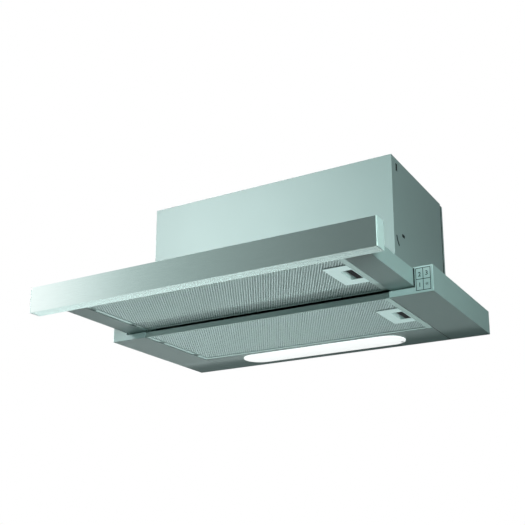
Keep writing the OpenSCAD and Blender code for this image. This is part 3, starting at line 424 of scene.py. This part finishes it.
GREY_COAT: Colour = (0.455, 0.59, 0.57)
BOX_COAT: Colour = (0.307, 0.378, 0.37)
FINISHES = {
    "grey_steel": Coated("grey_steel_coat", GREY_COAT, roughness=0.3, specular=0.36),
    "box_steel": Coated("box_steel_coat", BOX_COAT, roughness=0.45, specular=0.25),
    "fascia_steel": Brushed("fascia_brushed_steel", (0.86, 0.95, 0.93), roughness=0.15,
                            grain_depth=0.01 * MM, sheen_spread=0.025),
    "grey_plastic": Moulded("grey_moulding", (0.325, 0.42, 0.41), specular=0.3),
    "cap_plastic": Moulded("cap_moulding", (0.7, 0.84, 0.81), specular=0.35),
    "filter_aluminium": Brushed("filter_frame_aluminium", (0.46, 0.585, 0.56), roughness=0.36,
                                grain=Grain.ALONG_Y, grain_scale=40.0),
    "latch_aluminium": Brushed("latch_plate_aluminium", (0.8, 0.97, 0.94), roughness=0.38,
                               grain=Grain.ALONG_Y, grain_scale=40.0),
    "mesh_aluminium": Brushed("filter_mesh_aluminium", (0.83, 1.0, 0.97), roughness=0.36,
                              grain=Grain.NONE, grain_scale=300.0),
    # The pleated core is the mesh's aluminium painted darker: painted shade inside the filter
    # pack.
    "mesh_core_shaded": Brushed("filter_core_painted_shade", (0.34, 0.47, 0.45), roughness=0.5,
                         grain=Grain.NONE, grain_scale=300.0),
    "black_plastic": Moulded("black_moulding", (0.008, 0.009, 0.01), specular=0.1),
    "seal_rubber": Moulded("seal_rubber", (0.012, 0.014, 0.014), roughness=0.7, specular=0.1),
    "dark_plastic": Moulded("dark_moulding", (0.03, 0.032, 0.034)),
    "zinc_steel": Brushed("zinc_plate", (0.6, 0.62, 0.62), roughness=0.32, grain=Grain.NONE,
                          grain_scale=60.0),
    "bright_steel": Brushed("bright_drawn_steel", (0.68, 0.7, 0.7), roughness=0.2,
                            grain_scale=90.0),
    "lamp_diffuser": LitDiffuser("lit_lamp_cover"),
    "lamp_glass": LampGlass("opal_lamp_glass"),
    "white_ceramic": Moulded("white_ceramic", (0.8, 0.8, 0.77), roughness=0.25),
    "motor_metal": Coated("motor_enamel", (0.035, 0.038, 0.042), roughness=0.35),
    "capacitor_can": Brushed("capacitor_can_aluminium", (0.72, 0.73, 0.74), roughness=0.3,
                             grain=Grain.NONE, grain_scale=40.0),
    "board_green": Board("board_coat"),
}


@dataclass
class FinishShop:
    """Builds each finish once and hands it to the pieces that take it."""

    made: dict[str, bpy.types.Material] = field(default_factory=dict)

    def material(self, slot: str) -> bpy.types.Material:
        """Hand out a slot's material, built the first time that it is asked for.

        Args:
            slot: The finish's name, which is the record's material slot for most.

        Returns:
            The material.
        """
        if slot not in self.made:
            self.made[slot] = FINISHES[slot].build()
        return self.made[slot]

    def dress(self, obj: bpy.types.Object, slot: str) -> None:
        """Give an object the finish of a slot all over."""
        obj.data.materials.clear()
        obj.data.materials.append(self.material(slot))

    def dress_frame(self) -> None:
        """Give every CAD node the finish that the record names for it."""
        for entry in frame["record"]["subparts"]:
            self.dress(frame["nodes"][entry["node"]], entry["material_slot"])
            log.info("%s: %s", entry["node"], entry["material_slot"])


# Edges


@dataclass
class EdgeBreaks:
    """Small real radii on the folded and moulded edges of the CAD nodes."""

    widths: dict[str, float]
    segments: int = 2
    angle: float = math.radians(38)
    flat_angle: float = math.radians(0.5)

    def soften(self) -> None:
        """Add the radii as modifiers, which leave the CAD meshes as they are."""
        for node, width in self.widths.items():
            obj = frame["nodes"][node]
            join = obj.modifiers.new("flat_faces", "DECIMATE")
            join.decimate_type = "DISSOLVE"
            join.angle_limit = self.flat_angle
            bevel = obj.modifiers.new("edge_radius", "BEVEL")
            bevel.width = width
            bevel.segments = self.segments
            bevel.limit_method = "ANGLE"
            bevel.angle_limit = self.angle
            bevel.harden_normals = True
            log.info("%s: edges of %.2f mm", node, width / MM)


# Meshes


def new_piece(name: str, verts: Corners, faces: Faces, body: str, slot: str, shop: FinishShop,
              finish: str = "") -> bpy.types.Object:
    """Make a mesh piece that rides on a CAD body.

    Args:
        name: The piece's name.
        verts: Its corners.
        faces: Its faces, as tuples of corner numbers.
        body: The CAD body that it rides on.
        slot: The record's material slot.
        shop: Where its finish comes from.
        finish: Its finish, where that isn't the slot's own.

    Returns:
        The new object.
    """
    mesh = bpy.data.meshes.new(name)
    mesh.from_pydata(verts, [], faces)
    mesh.validate()
    obj = bpy.data.objects.new(name, mesh)
    bpy.context.scene.collection.objects.link(obj)
    shop.dress(obj, finish or slot)
    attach(obj, body)
    log.info("%s: %d faces", name, len(faces))
    return obj


@dataclass
class FilterPack:
    """The pack of one grease filter: two expanded sheets with a pleated sheet between them."""

    prefix: str
    body: str
    shop: FinishShop
    strand_pitch: float = 2.2 * MM
    diamond_l: float = 7.7 * MM
    strand_w: float = 1.2 * MM
    strand_t: float = 0.6 * MM
    upper_coarseness: float = 3.0
    overlap_share: float = 0.4
    pleat_pitch: float = 4.0 * MM
    pleat_t: float = 0.5 * MM
    room: float = 0.05 * MM
    recess_w: float = 21.4 * MM
    recess_l: float = 44.0 * MM
    recess_past: float = 9.0 * MM

    def build(self) -> None:
        """Build the pack in place of the CAD node."""
        low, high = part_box(f"{self.prefix}_filter_mesh")
        latch_low, latch_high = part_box(f"{self.prefix}_latch_plate")
        pocket = self.pocket(latch_low, latch_high)
        verts: Corners = []
        faces: Faces = []
        for z, coarseness in ((low.z + self.room, 1.0),
                              (high.z - self.strand_t - self.room, self.upper_coarseness)):
            self.expanded_sheet(verts, faces, low, high, z, pocket, coarseness)
        piece = new_piece(f"{self.prefix}_mesh_pack", verts, faces, self.body, "mesh_aluminium",
                          self.shop)
        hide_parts(f"{self.prefix}_filter_mesh")
        verts, faces = [], []
        self.pleats(verts, faces, low, high, pocket)
        # The pleats take the darker core finish, painted shade between the strands.
        new_piece(f"{self.prefix}_mesh_pleats", verts, faces, self.body, "mesh_aluminium",
                  self.shop, finish="mesh_core_shaded")

    def pocket(self, low: Vector, high: Vector) -> Limits:
        """Return where the latch's recess goes through the pack, as x0, x1, y0, y1.

        Args:
            low: The latch plate's lowest corner.
            high: Its highest corner.

        Returns:
            The recess's limits with a little room.
        """
        mid = (low.y + high.y) / 2
        return (high.x - self.recess_w, high.x + self.recess_past,
                mid - self.recess_l / 2, mid + self.recess_l / 2)

    def expanded_sheet(self, verts: Corners, faces: Faces, low: Vector, high: Vector, z: float,
                       pocket: Limits, coarseness: float) -> None:
        """Add one sheet of diamond mesh, as zigzag strands that meet their neighbours.

        Args:
            verts: The corners made so far.
            faces: The faces made so far.
            low: The pack's lowest corner.
            high: Its highest corner.
            z: Height of the sheet's underside.
            pocket: The limits of the latch's recess.
            coarseness: How much larger than the outer sheet's its diamonds are.
        """
        count = round((high.x - low.x) / (self.strand_pitch * coarseness))
        pitch = (high.x - low.x) / count
        steps = 2 * round((high.y - low.y) / (self.diamond_l * coarseness))
        step = (high.y - low.y) / steps
        swing = (pitch - self.strand_w) / 2 + self.strand_w * self.overlap_share
        half = self.strand_w / 2
        ring = ((-half, 0.0), (half, 0.0), (0.0, self.strand_t))
        for i in range(count):
            x_mid = low.x + (i + 0.5) * pitch
            last = None
            for j in range(steps + 1):
                y = low.y + j * step
                x = x_mid + (swing if (i + j) % 2 else -swing)
                x = min(max(x, low.x + half), high.x - half)
                if pocket[0] < x < pocket[1] and pocket[2] < y < pocket[3]:
                    last = None
                    continue
                base = len(verts)
                verts.extend((x + dx, y, z + dz) for dx, dz in ring)
                if last is not None:
                    for a, b in ((0, 1), (1, 2), (2, 0)):
                        faces.append((last + a, base + a, base + b, last + b))
                else:
                    faces.append((base, base + 1, base + 2))
                last = base

    def pleats(self, verts: Corners, faces: Faces, low: Vector, high: Vector,
               pocket: Limits) -> None:
        """Add the pleated sheet between the two expanded ones.

        Args:
            verts: The corners made so far.
            faces: The faces made so far.
            low: The pack's lowest corner.
            high: Its highest corner.
            pocket: The limits of the latch's recess.
        """
        count = 2 * round((high.x - low.x) / self.pleat_pitch)
        pitch = (high.x - low.x) / count
        bottom = low.z + self.strand_t + 2 * self.room
        top = high.z - self.strand_t - 2 * self.room - self.pleat_t
        for y0, y1, cut in ((low.y, pocket[2], False), (pocket[2], pocket[3], True),
                            (pocket[3], high.y, False)):
            last = None
            for i in range(count + 1):
                x = low.x + i * pitch
                if cut and x > pocket[0]:
                    break
                z = bottom if i % 2 == 0 else top
                base = len(verts)
                upper = z + self.pleat_t
                verts.extend(((x, y0, z), (x, y1, z), (x, y1, upper), (x, y0, upper)))
                if last is not None:
                    for a in range(4):
                        b = (a + 1) % 4
                        faces.append((last + a, last + b, base + b, base + a))
                last = base


@dataclass
class LatchSprings:
    """The two wave springs of one latch."""

    prefix: str
    shop: FinishShop
    slot: str = "bright_steel"

    def build(self) -> None:
        """Build the springs in place of the CAD node, from a copy of its mesh."""
        node = f"{self.prefix}_latch_spring"
        mesh = frame["nodes"][node].data.copy()
        piece = bpy.data.objects.new(f"{self.prefix}_latch_wave_springs", mesh)
        bpy.context.scene.collection.objects.link(piece)
        self.shop.dress(piece, self.slot)
        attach(piece, f"{self.prefix}_filter")
        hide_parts(node)
        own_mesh(piece)
        log.info("%s: %d faces", piece.name, len(mesh.polygons))


def join_rings(faces: Faces, base: int, count: int, rings: int) -> None:
    """Join rings of corners into a closed shell.

    Args:
        faces: The faces made so far.
        base: The number of the first ring's first corner.
        count: The corners of a ring.
        rings: How many rings there are.
    """
    last = base + (rings - 1) * count
    for start in range(base, last, count):
        for k in range(count):
            n = (k + 1) % count
            faces.append((start + k, start + n, start + count + n, start + count + k))
    faces.append(tuple(range(base + count - 1, base - 1, -1)))
    faces.append(tuple(range(last, last + count)))


def add_bar(verts: Corners, faces: Faces, section: Section, start: Vector, end: Vector,
            across: Vector, out: Vector) -> None:
    """Add a straight bar with a drawn section.

    Args:
        verts: The corners made so far.
        faces: The faces made so far.
        section: The section's corners, as distances across and out.
        start: Where the bar starts.
        end: Where it ends.
        across: The section's first direction.
        out: The section's second direction.
    """
    base = len(verts)
    for place in (start, end):
        verts.extend(place + across * u + out * v for u, v in section)
    join_rings(faces, base, len(section), rings=2)


@dataclass
class KeypadShadowGrid:
    """A black grid round and between the four push buttons: painted shadow in the gaps between
    them.
    """

    shop: FinishShop
    head_w: float = 0.95 * MM
    head_flat_share: float = 0.7
    head_t: float = 0.06 * MM
    stem_w: float = 0.2 * MM
    stem_l: float = 0.9 * MM
    lift: float = 0.01 * MM

    def section(self) -> Section:
        """Draw the grid's T shaped section, head outwards.

        Returns:
            The section's corners.
        """
        head, stem, top, root = self.head_w / 2, self.stem_w / 2, self.head_t, -self.stem_l
        flat = head * self.head_flat_share
        return ((-stem, root), (-stem, 0), (-head, 0), (-flat, top), (flat, top), (head, 0),
                (stem, 0), (stem, root))

    def build(self) -> None:
        """Build the grid: three upright and three level bars."""
        low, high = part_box("button_1")
        far_low, far_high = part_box("button_3")
        half = (far_low.x - high.x) / 2
        columns = (low.x - half, high.x + half, far_high.x + half)
        rows = (low.z - half, high.z + half, far_high.z + half)
        y = low.y - self.lift
        verts: Corners = []
        faces: Faces = []
        out = Vector((0, -1, 0))
        for x in columns:
            add_bar(verts, faces, self.section(), Vector((x, y, rows[0])),
                    Vector((x, y, rows[-1])), Vector((1, 0, 0)), out)
        for z in rows:
            add_bar(verts, faces, self.section(), Vector((columns[0], y, z)),
                    Vector((columns[-1], y, z)), Vector((0, 0, -1)), out)
        # The grid is painted shadow: a dark strip in each gap round the buttons.
        new_piece("keypad_painted_shadow_grid", verts, faces, "hood_body", "black_plastic", self.shop)


@dataclass
class SeamLips:
    """Thin black lips along the seams beside the visor and the rear filter; the two beside the
    visor are painted shadow in the gap between the visor and the control block.
    """

    shop: FinishShop
    lip_w: float = 0.8 * MM
    lip_t: float = 0.3 * MM
    lap: float = 0.3 * MM
    front_w: float = 2.2 * MM
    visor_room: float = 0.1 * MM
    ledge_h: float = 9.6 * MM
    turns: int = 6

    def lip(self, name: str, start: Vector, end: Vector, across: Vector, out: Vector,
            width: float) -> None:
        """Build one lip with a half round section.

        Args:
            name: The piece's name.
            start: Where it starts.
            end: Where it ends.
            across: The direction of its width.
            out: The direction in which it bulges.
            width: Its width.
        """
        verts: Corners = []
        faces: Faces = []
        angles = [math.pi * k / self.turns for k in range(self.turns + 1)]
        section = tuple((width / 2 * math.cos(a), self.lip_t * math.sin(a)) for a in angles)
        add_bar(verts, faces, section, start, end, across, out)
        new_piece(name, verts, faces, "hood_body", "black_plastic", self.shop)

    def build(self) -> None:
        """Build the lips."""
        right, front, down = Vector((1, 0, 0)), Vector((0, -1, 0)), Vector((0, 0, -1))
        low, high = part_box("side_channel_right")
        below = low.z
        x = low.x + self.lip_w / 2 - self.lap
        self.lip("filter_side_lip", Vector((x, low.y, below)), Vector((x, high.y, below)),
                 right, down, self.lip_w)
        panel_low, panel_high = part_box("light_panel")
        y = panel_low.y + self.lip_w / 2 - self.lap
        self.lip("filter_rear_lip", Vector((panel_low.x, y, below)),
                 Vector((panel_high.x, y, below)), front, down, self.lip_w)
        block_low, block_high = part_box("control_bezel")
        _, tray_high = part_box("visor_tray")
        x, y = tray_high.x + self.visor_room + self.front_w / 2, block_low.y
        # The visor lips are painted shadow: dark strips that fill the gap beside the visor.
        for side, name in ((1, "visor_shadow_lip_right"), (-1, "visor_shadow_lip_left")):
            self.lip(name, Vector((side * x, y, block_high.z)),
                     Vector((side * x, y, below + self.ledge_h)), right, front, self.front_w)


@dataclass
class SlotShadeBlanks:
    """Black blanks in the bracket slots in both sides of the box: painted shade for the dark
    seen through the slots.
    """

    shop: FinishShop
    lap: float = 0.45 * MM
    proud: float = 0.3 * MM
    rim: float = 0.3 * MM
    turns: int = 6
    sharpest: float = 0.3
    pivot_y: float = 40.0 * MM
    pivot_z: float = 79.2 * MM
    pivot_half_l: float = 5.5 * MM
    pivot_half_w: float = 2.3 * MM
    arc_r: float = 30.0 * MM
    arc_half_w: float = 1.5 * MM
    arc_start: float = math.radians(195)
    arc_end: float = math.radians(228)
    short_y: Span = (18.0 * MM, 23.0 * MM)
    short_z: Span = (-21.0 * MM, -9.0 * MM)

    def turn(self, y: float, z: float, radius: float, start: float, end: float) -> Outline:
        """Return points on an arc, as places back and up from the box's lower front edge."""
        angles = [start + (end - start) * k / self.turns for k in range(self.turns + 1)]
        return [(y + radius * math.cos(a), z + radius * math.sin(a)) for a in angles]

    def outlines(self, top: float) -> dict[str, Outline]:
        """Draw the outlines of the three slots, anticlockwise from the right.

        Args:
            top: The box's height.

        Returns:
            The outlines, by the slots' names.
        """
        y, z, end_r = self.pivot_y, self.pivot_z, self.pivot_half_w
        run, quarter = self.pivot_half_l - end_r, math.pi / 2
        pivot = (self.turn(y + run, z, end_r, -quarter, quarter)
                 + self.turn(y - run, z, end_r, quarter, 3 * quarter))
        far, near = self.arc_r + self.arc_half_w, self.arc_r - self.arc_half_w
        arc = (self.turn(y, z, far, self.arc_start, self.arc_end)
               + self.turn(y, z, near, self.arc_end, self.arc_start))
        (y0, y1), (z0, z1) = self.short_y, self.short_z
        short = [(y0, top + z0), (y1, top + z0), (y1, top + z1), (y0, top + z1)]
        return {"pivot": pivot, "arc": arc, "short": short}

    def grown(self, outline: Outline, by: float) -> Outline:
        """Move an outline outwards.

        Args:
            outline: The outline, anticlockwise.
            by: How far.

        Returns:
            The larger outline.
        """
        moved = []
        for k, (y, z) in enumerate(outline):
            before, after = outline[k - 1], outline[(k + 1) % len(outline)]
            one = Vector((z - before[1], before[0] - y)).normalized()
            two = Vector((after[1] - z, y - after[0])).normalized()
            out = (one + two) / max(1 + one.dot(two), self.sharpest)
            moved.append((y + out.x * by, z + out.y * by))
        return moved

    def blank(self, name: str, outline: Outline, foot: Vector, out: int) -> None:
        """Build one blank, a thin plate with a sloped rim.

        Args:
            name: The piece's name.
            outline: The slot's outline.
            foot: The box's lower front corner on this side.
            out: 1 on the right side, -1 on the left, where the rings come in reverse so that
                the faces look outwards.
        """
        verts: Corners = []
        faces: Faces = []
        rings = ((self.lap, 0.0), (self.lap, self.proud / 2), (self.lap - self.rim, self.proud))
        for by, lift in rings[::out]:
            verts.extend((foot.x + out * lift, foot.y + y, foot.z + z)
                         for y, z in self.grown(outline, by))
        join_rings(faces, 0, len(outline), len(rings))
        new_piece(name, verts, faces, "hood_body", "black_plastic", self.shop)

    def build(self) -> None:
        """Build the three blanks of each side."""
        low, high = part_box("motor_housing")
        _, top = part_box("housing_top")
        outlines = self.outlines(top.z - low.z)
        for side, x, out in (("right", high.x, 1), ("left", low.x, -1)):
            for slot, outline in outlines.items():
                # Each blank is painted shade, a dark plate where the slot shows its dark
                # inside.
                self.blank(f"{slot}_slot_painted_shade_{side}", outline, Vector((x, low.y, low.z)), out)


@dataclass
class ButtonMarks:
    """The numbers and the lamp sign on the push buttons."""

    shop: FinishShop
    numbers: tuple[str, ...] = ("1", "2", "3")
    depth: float = 0.07 * MM
    type_size: float = 9.45 * MM
    type_extra: float = 0.12 * MM
    ring_in: float = 0.7 * MM
    ring_out: float = 1.35 * MM
    ring_sides: int = 24
    rays: int = 8
    ray_start: float = 1.75 * MM
    ray_end: float = 2.6 * MM
    ray_half_w: float = 0.26 * MM

    def face(self, button: str) -> Vector:
        """Return the middle of a button's front face."""
        low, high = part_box(button)
        return Vector(((low.x + high.x) / 2, low.y, (low.z + high.z) / 2))

    def build(self) -> None:
        """Build every mark."""
        for number in self.numbers:
            self.number(f"button_{number}", number)
        self.lamp_sign("button_light")

    def number(self, button: str, word: str) -> None:
        """Build a number as a thin raised mesh.

        Args:
            button: The button's node and body.
            word: The number.
        """
        curve = bpy.data.curves.new(f"{button}_outline", "FONT")
        curve.body = word
        curve.size = self.type_size
        curve.extrude = self.depth
        curve.offset = self.type_extra
        curve.align_x, curve.align_y = "CENTER", "CENTER"
        outline = bpy.data.objects.new(f"{button}_outline", curve)
        bpy.context.scene.collection.objects.link(outline)
        bpy.context.view_layer.update()
        mesh = bpy.data.meshes.new_from_object(outline)
        bpy.data.objects.remove(outline)
        mid = sum((v.co for v in mesh.vertices), Vector()) / len(mesh.vertices)
        place = self.face(button)
        for v in mesh.vertices:
            x, y, z = v.co - mid
            v.co = (place.x + x, place.y - z, place.z + y)
        self.finish(f"{button}_mark", mesh, button)

    def lamp_sign(self, button: str) -> None:
        """Build the lamp sign: a ring with rays round it.

        Args:
            button: The button's node and body.
        """
        place = self.face(button)
        mesh = bpy.data.meshes.new(f"{button}_sign")
        made = bmesh.new()
        self.ring(made, place)
        for ray in range(self.rays):
            self.ray(made, place, math.tau * ray / self.rays)
        made.to_mesh(mesh)
        made.free()
        self.finish(f"{button}_mark", mesh, button)

    def ring(self, made: bmesh.types.BMesh, place: Vector) -> None:
        """Add the sign's flat ring.

        Args:
            made: The mesh that grows.
            place: The ring's middle.
        """
        turns = [math.tau * k / self.ring_sides for k in range(self.ring_sides)]
        rows = [[made.verts.new(place + Vector((r * math.cos(a), y, r * math.sin(a))))
                 for a in turns]
                for r, y in ((self.ring_in, 0.0), (self.ring_in, -self.depth),
                             (self.ring_out, -self.depth), (self.ring_out, 0.0))]
        for row, after in zip(rows, rows[1:] + rows[:1]):
            for k in range(self.ring_sides):
                n = (k + 1) % self.ring_sides
                made.faces.new((after[k], after[n], row[n], row[k]))

    def ray(self, made: bmesh.types.BMesh, place: Vector, angle: float) -> None:
        """Add one ray.

        Args:
            made: The mesh that grows.
            place: The sign's middle.
            angle: The ray's direction.
        """
        along = Vector((math.cos(angle), 0, math.sin(angle)))
        side = Vector((-math.sin(angle), 0, math.cos(angle))) * self.ray_half_w
        start, end = along * self.ray_start, along * self.ray_end
        corners = [start - side, end - side, end + side, start + side]
        back = [made.verts.new(place + c) for c in corners]
        front = [made.verts.new(place + c + Vector((0, -self.depth, 0))) for c in corners]
        made.faces.new(front)
        for k in range(4):
            n = (k + 1) % 4
            made.faces.new((back[k], back[n], front[n], front[k]))

    def finish(self, name: str, mesh: bpy.types.Mesh, body: str) -> None:
        """Dress a mark and let it ride on its button.

        Args:
            name: The mark's name.
            mesh: Its mesh.
            body: The button's body.
        """
        obj = bpy.data.objects.new(name, mesh)
        bpy.context.scene.collection.objects.link(obj)
        self.shop.dress(obj, "black_plastic")
        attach(obj, body)
        log.info("%s: %d faces", name, len(mesh.polygons))


# Studio


@dataclass(frozen=True)
class Card:
    """An upright card that metal and satin coats mirror: its place, and its tones along X."""

    name: str
    y: float
    across: Span
    up: Span
    tones: tuple[tuple[float, float], ...]
    strength: float = 1.0


REAR_Y = 2.7
REAR_SPAN: Span = (-3.8, 3.4)
CARDS = (
    Card("front_card", -REAR_Y, across=(-3.8, 2.6), up=(-1.85, 3.2), strength=1.14,
         tones=((-2.65, 1.0), (-2.3, 0.76), (-2.0, 0.48), (-1.6, 0.33), (-0.8, 0.165))),
    Card("rear_card_low", REAR_Y, REAR_SPAN, up=(-1.85, -1.155),
         tones=((-3.2, 0.62), (-1.8, 0.42), (-1.0, 0.22))),
    Card("rear_card_front_filter", REAR_Y, REAR_SPAN, up=(-1.155, -1.02), strength=2.9,
         tones=((-2.6, 0.5), (-1.2, 0.5))),
    Card("rear_card_rear_filter", REAR_Y, REAR_SPAN, up=(-1.02, -0.84), strength=6.0,
         tones=((-1.3, 0.6), (-0.75, 0.36))),
    Card("rear_card", REAR_Y, REAR_SPAN, up=(-0.84, 3.2),
         tones=((-1.0, 0.03), (0.9, 0.1), (1.6, 0.25))),
    Card("wall_card", 0.2, across=(-0.6, 0.5), up=(-0.082, -0.03),
         tones=((-0.3, 0.25), (0.2, 0.02))),
)


@dataclass(frozen=True)
class SoftBox:
    """A soft box: where it hangs, what it faces, its size, power, spread and colour."""

    name: str
    place: Place
    aim: Place
    side: float
    power: float
    spread: float = math.pi
    colour: Colour = WHITE


SOFT_BOXES = (
    SoftBox("key_soft_box", (-0.75, -1.2, 0.4), (-0.1, -0.12, 0.12), side=0.3, power=1.12,
            spread=0.6, colour=(1.0, 0.97, 0.97)),
    SoftBox("right_soft_box", (1.1, -1.5, -0.15), (0.25, -0.15, 0.0), side=0.4, power=25.0,
            colour=SHADE),
    SoftBox("top_soft_box", (0.2, -0.4, 1.9), (0.0, -0.05, 0.05), side=1.6, power=6.0),
    SoftBox("low_soft_box", (-0.7, -1.5, -1.1), (0.0, -0.2, 0.0), side=0.9, power=0.8,
            colour=SHADE),
    SoftBox("rear_soft_box", (-0.5, 2.0, 0.7), (0.0, 0.14, 0.08), side=1.0, power=30.0),
)


@dataclass
class Studio:
    """The plain floor, the soft lights, the white surroundings and the camera."""

    camera_at: Vector = field(default_factory=lambda: Vector((0.71358, -1.36203, -0.45120)))
    camera_yaw: float = 0.52511855
    camera_pitch: float = 0.2583808
    lens: float = 61.95
    sensor_w: float = 36.0
    shift_up: float = 0.15
    far: float = 50.0
    floor_z: float = -1.9
    floor_side: float = 14.0
    floor_tone: Colour = (0.21, 0.25, 0.245)
    floor_glow: float = 0.95
    fill: float = 0.05

    def build(self) -> None:
        """Build the whole studio."""
        self.world()
        self.floor()
        self.cards()
        self.lights()
        self.camera()
        bpy.context.scene.view_settings.view_transform = "Standard"

    def world(self) -> None:
        """Light the surroundings: white where a picture or a mirror shows them, else dim."""
        world = bpy.data.worlds.new("studio_white")
        bpy.context.scene.world = world
        world.use_nodes = True
        nodes, links = world.node_tree.nodes, world.node_tree.links
        nodes.clear()
        output = nodes.new("ShaderNodeOutputWorld")
        mix = nodes.new("ShaderNodeMixShader")
        seen, soft = nodes.new("ShaderNodeBackground"), nodes.new("ShaderNodeBackground")
        seen.inputs["Color"].default_value = (1, 1, 1, 1)
        soft.inputs["Color"].default_value = (*SHADE, 1)
        soft.inputs["Strength"].default_value = self.fill
        rays = nodes.new("ShaderNodeLightPath")
        sum_one, sum_two = nodes.new("ShaderNodeMath"), nodes.new("ShaderNodeMath")
        for node in (sum_one, sum_two):
            node.operation = "MAXIMUM"
        links.new(rays.outputs["Is Camera Ray"], sum_one.inputs[0])
        links.new(rays.outputs["Is Glossy Ray"], sum_one.inputs[1])
        links.new(sum_one.outputs[0], sum_two.inputs[0])
        links.new(rays.outputs["Is Transmission Ray"], sum_two.inputs[1])
        links.new(sum_two.outputs[0], mix.inputs[0])
        links.new(soft.outputs[0], mix.inputs[1])
        links.new(seen.outputs[0], mix.inputs[2])
        links.new(mix.outputs[0], output.inputs["Surface"])

    def sheet(self, name: str, corners: tuple) -> bpy.types.Object:
        """Make a flat sheet of one face.

        Args:
            name: The sheet's name.
            corners: Its four corners in turn.

        Returns:
            The new object.
        """
        mesh = bpy.data.meshes.new(name)
        mesh.from_pydata(corners, [], [(0, 1, 2, 3)])
        obj = bpy.data.objects.new(name, mesh)
        bpy.context.scene.collection.objects.link(obj)
        return obj

    def floor(self) -> None:
        """Lay a plain pale floor well below the hood."""
        half, z = self.floor_side / 2, self.floor_z
        obj = self.sheet("floor", ((-half, -half, z), (half, -half, z), (half, half, z),
                                   (-half, half, z)))
        g = Graph("floor_paint")
        paint = g.add("ShaderNodeBsdfDiffuse", {"Color": (*self.floor_tone, 1)})
        glow = g.add("ShaderNodeEmission", {"Color": (1, 1, 1, 1), "Strength": 1.0})
        mix = g.add("ShaderNodeMixShader")
        rays = g.add("ShaderNodeLightPath")
        seen = g.add("ShaderNodeMath", operation="MAXIMUM")
        part = g.add("ShaderNodeMath", {1: self.floor_glow}, operation="MULTIPLY")
        g.link(rays.outputs["Is Camera Ray"], seen.inputs[0])
        g.link(rays.outputs["Is Glossy Ray"], seen.inputs[1])
        g.link(seen.outputs[0], part.inputs[0])
        g.link(part.outputs[0], mix.inputs[0])
        g.link(paint.outputs[0], mix.inputs[1])
        g.link(glow.outputs[0], mix.inputs[2])
        g.link(mix.outputs[0], g.output.inputs["Surface"])
        obj.data.materials.append(g.material)

    def hang(self, box: SoftBox) -> None:
        """Hang one soft box.

        Args:
            box: The soft box.
        """
        light = bpy.data.lights.new(box.name, "AREA")
        light.size = box.side
        light.energy = box.power
        light.spread = box.spread
        light.color = box.colour
        obj = bpy.data.objects.new(box.name, light)
        obj.location = box.place
        aim = Vector(box.aim) - Vector(box.place)
        obj.rotation_euler = aim.to_track_quat("-Z", "Y").to_euler()
        obj.visible_glossy = False
        obj.visible_camera = False
        bpy.context.scene.collection.objects.link(obj)

    def card(self, card: Card) -> None:
        """Stand up one card that only mirrored rays see.

        Args:
            card: The card.
        """
        (left, right), (foot, head), y = card.across, card.up, card.y
        obj = self.sheet(card.name, ((left, y, foot), (right, y, foot), (right, y, head),
                                     (left, y, head)))
        g = Graph(f"{card.name}_paper")
        place = g.add("ShaderNodeTexCoord")
        parts = g.add("ShaderNodeSeparateXYZ")
        g.link(place.outputs["Object"], parts.inputs[0])
        across = g.add("ShaderNodeMapRange", {"From Min": left, "From Max": right})
        g.link(parts.outputs["X"], across.inputs["Value"])
        fade = g.add("ShaderNodeValToRGB")
        stops = fade.color_ramp.elements
        for _ in card.tones[2:]:
            stops.new(0.5)
        for stop, (x, tone) in zip(stops, card.tones):
            stop.position = (x - left) / (right - left)
            stop.color = (*paper_tone(tone), 1)
        g.link(across.outputs["Result"], fade.inputs["Fac"])
        shown = g.add("ShaderNodeEmission", {"Strength": card.strength})
        g.link(fade.outputs["Color"], shown.inputs["Color"])
        unseen = g.add("ShaderNodeBsdfTransparent")
        rays, seen = g.add("ShaderNodeLightPath"), g.add("ShaderNodeMixShader")
        g.link(rays.outputs["Is Glossy Ray"], seen.inputs[0])
        g.link(unseen.outputs[0], seen.inputs[1])
        g.link(shown.outputs[0], seen.inputs[2])
        g.link(seen.outputs[0], g.output.inputs["Surface"])
        obj.data.materials.append(g.material)

    def cards(self) -> None:
        """Stand up every card."""
        for card in CARDS:
            self.card(card)

    def lights(self) -> None:
        """Hang every soft box."""
        for box in SOFT_BOXES:
            self.hang(box)

    def camera(self) -> None:
        """Set the camera at the photograph's angle."""
        data = bpy.data.cameras.new("camera")
        data.lens = self.lens
        data.sensor_width = self.sensor_w
        data.shift_y = self.shift_up
        data.clip_end = self.far
        obj = bpy.data.objects.new("camera", data)
        obj.location = self.camera_at
        obj.rotation_euler = (math.pi / 2 + self.camera_pitch, 0, self.camera_yaw)
        bpy.context.scene.collection.objects.link(obj)
        bpy.context.scene.camera = obj


SHEET_EDGE = 0.45 * MM
MOULDED_EDGE = 0.6 * MM
SHEET_PIECES = ("base_cover", "motor_housing", "rear_panel", "housing_top", "visor_tray",
                "fascia", "light_panel", "side_channel_right", "side_channel_left",
                "lamp_cover")
MOULDED_PIECES = ("fascia_end_caps", "control_bezel", "front_cap")
EDGE_WIDTHS = {**dict.fromkeys(SHEET_PIECES, SHEET_EDGE),
               **dict.fromkeys(MOULDED_PIECES, MOULDED_EDGE)}


def main() -> None:
    """Build the hood's looks in order."""
    logging.basicConfig(level=logging.INFO, format="%(name)s: %(message)s")
    shop = FinishShop()
    shop.dress_frame()
    EdgeBreaks(EDGE_WIDTHS).soften()
    FilterPack("front", "front_filter", shop).build()
    FilterPack("rear", "rear_filter", shop, strand_w=1.4 * MM).build()
    for prefix in ("front", "rear"):
        LatchSprings(prefix, shop).build()
    KeypadShadowGrid(shop).build()
    SeamLips(shop).build()
    SlotShadeBlanks(shop).build()
    ButtonMarks(shop).build()
    Studio().build()


if __name__ == "__main__":
    main()
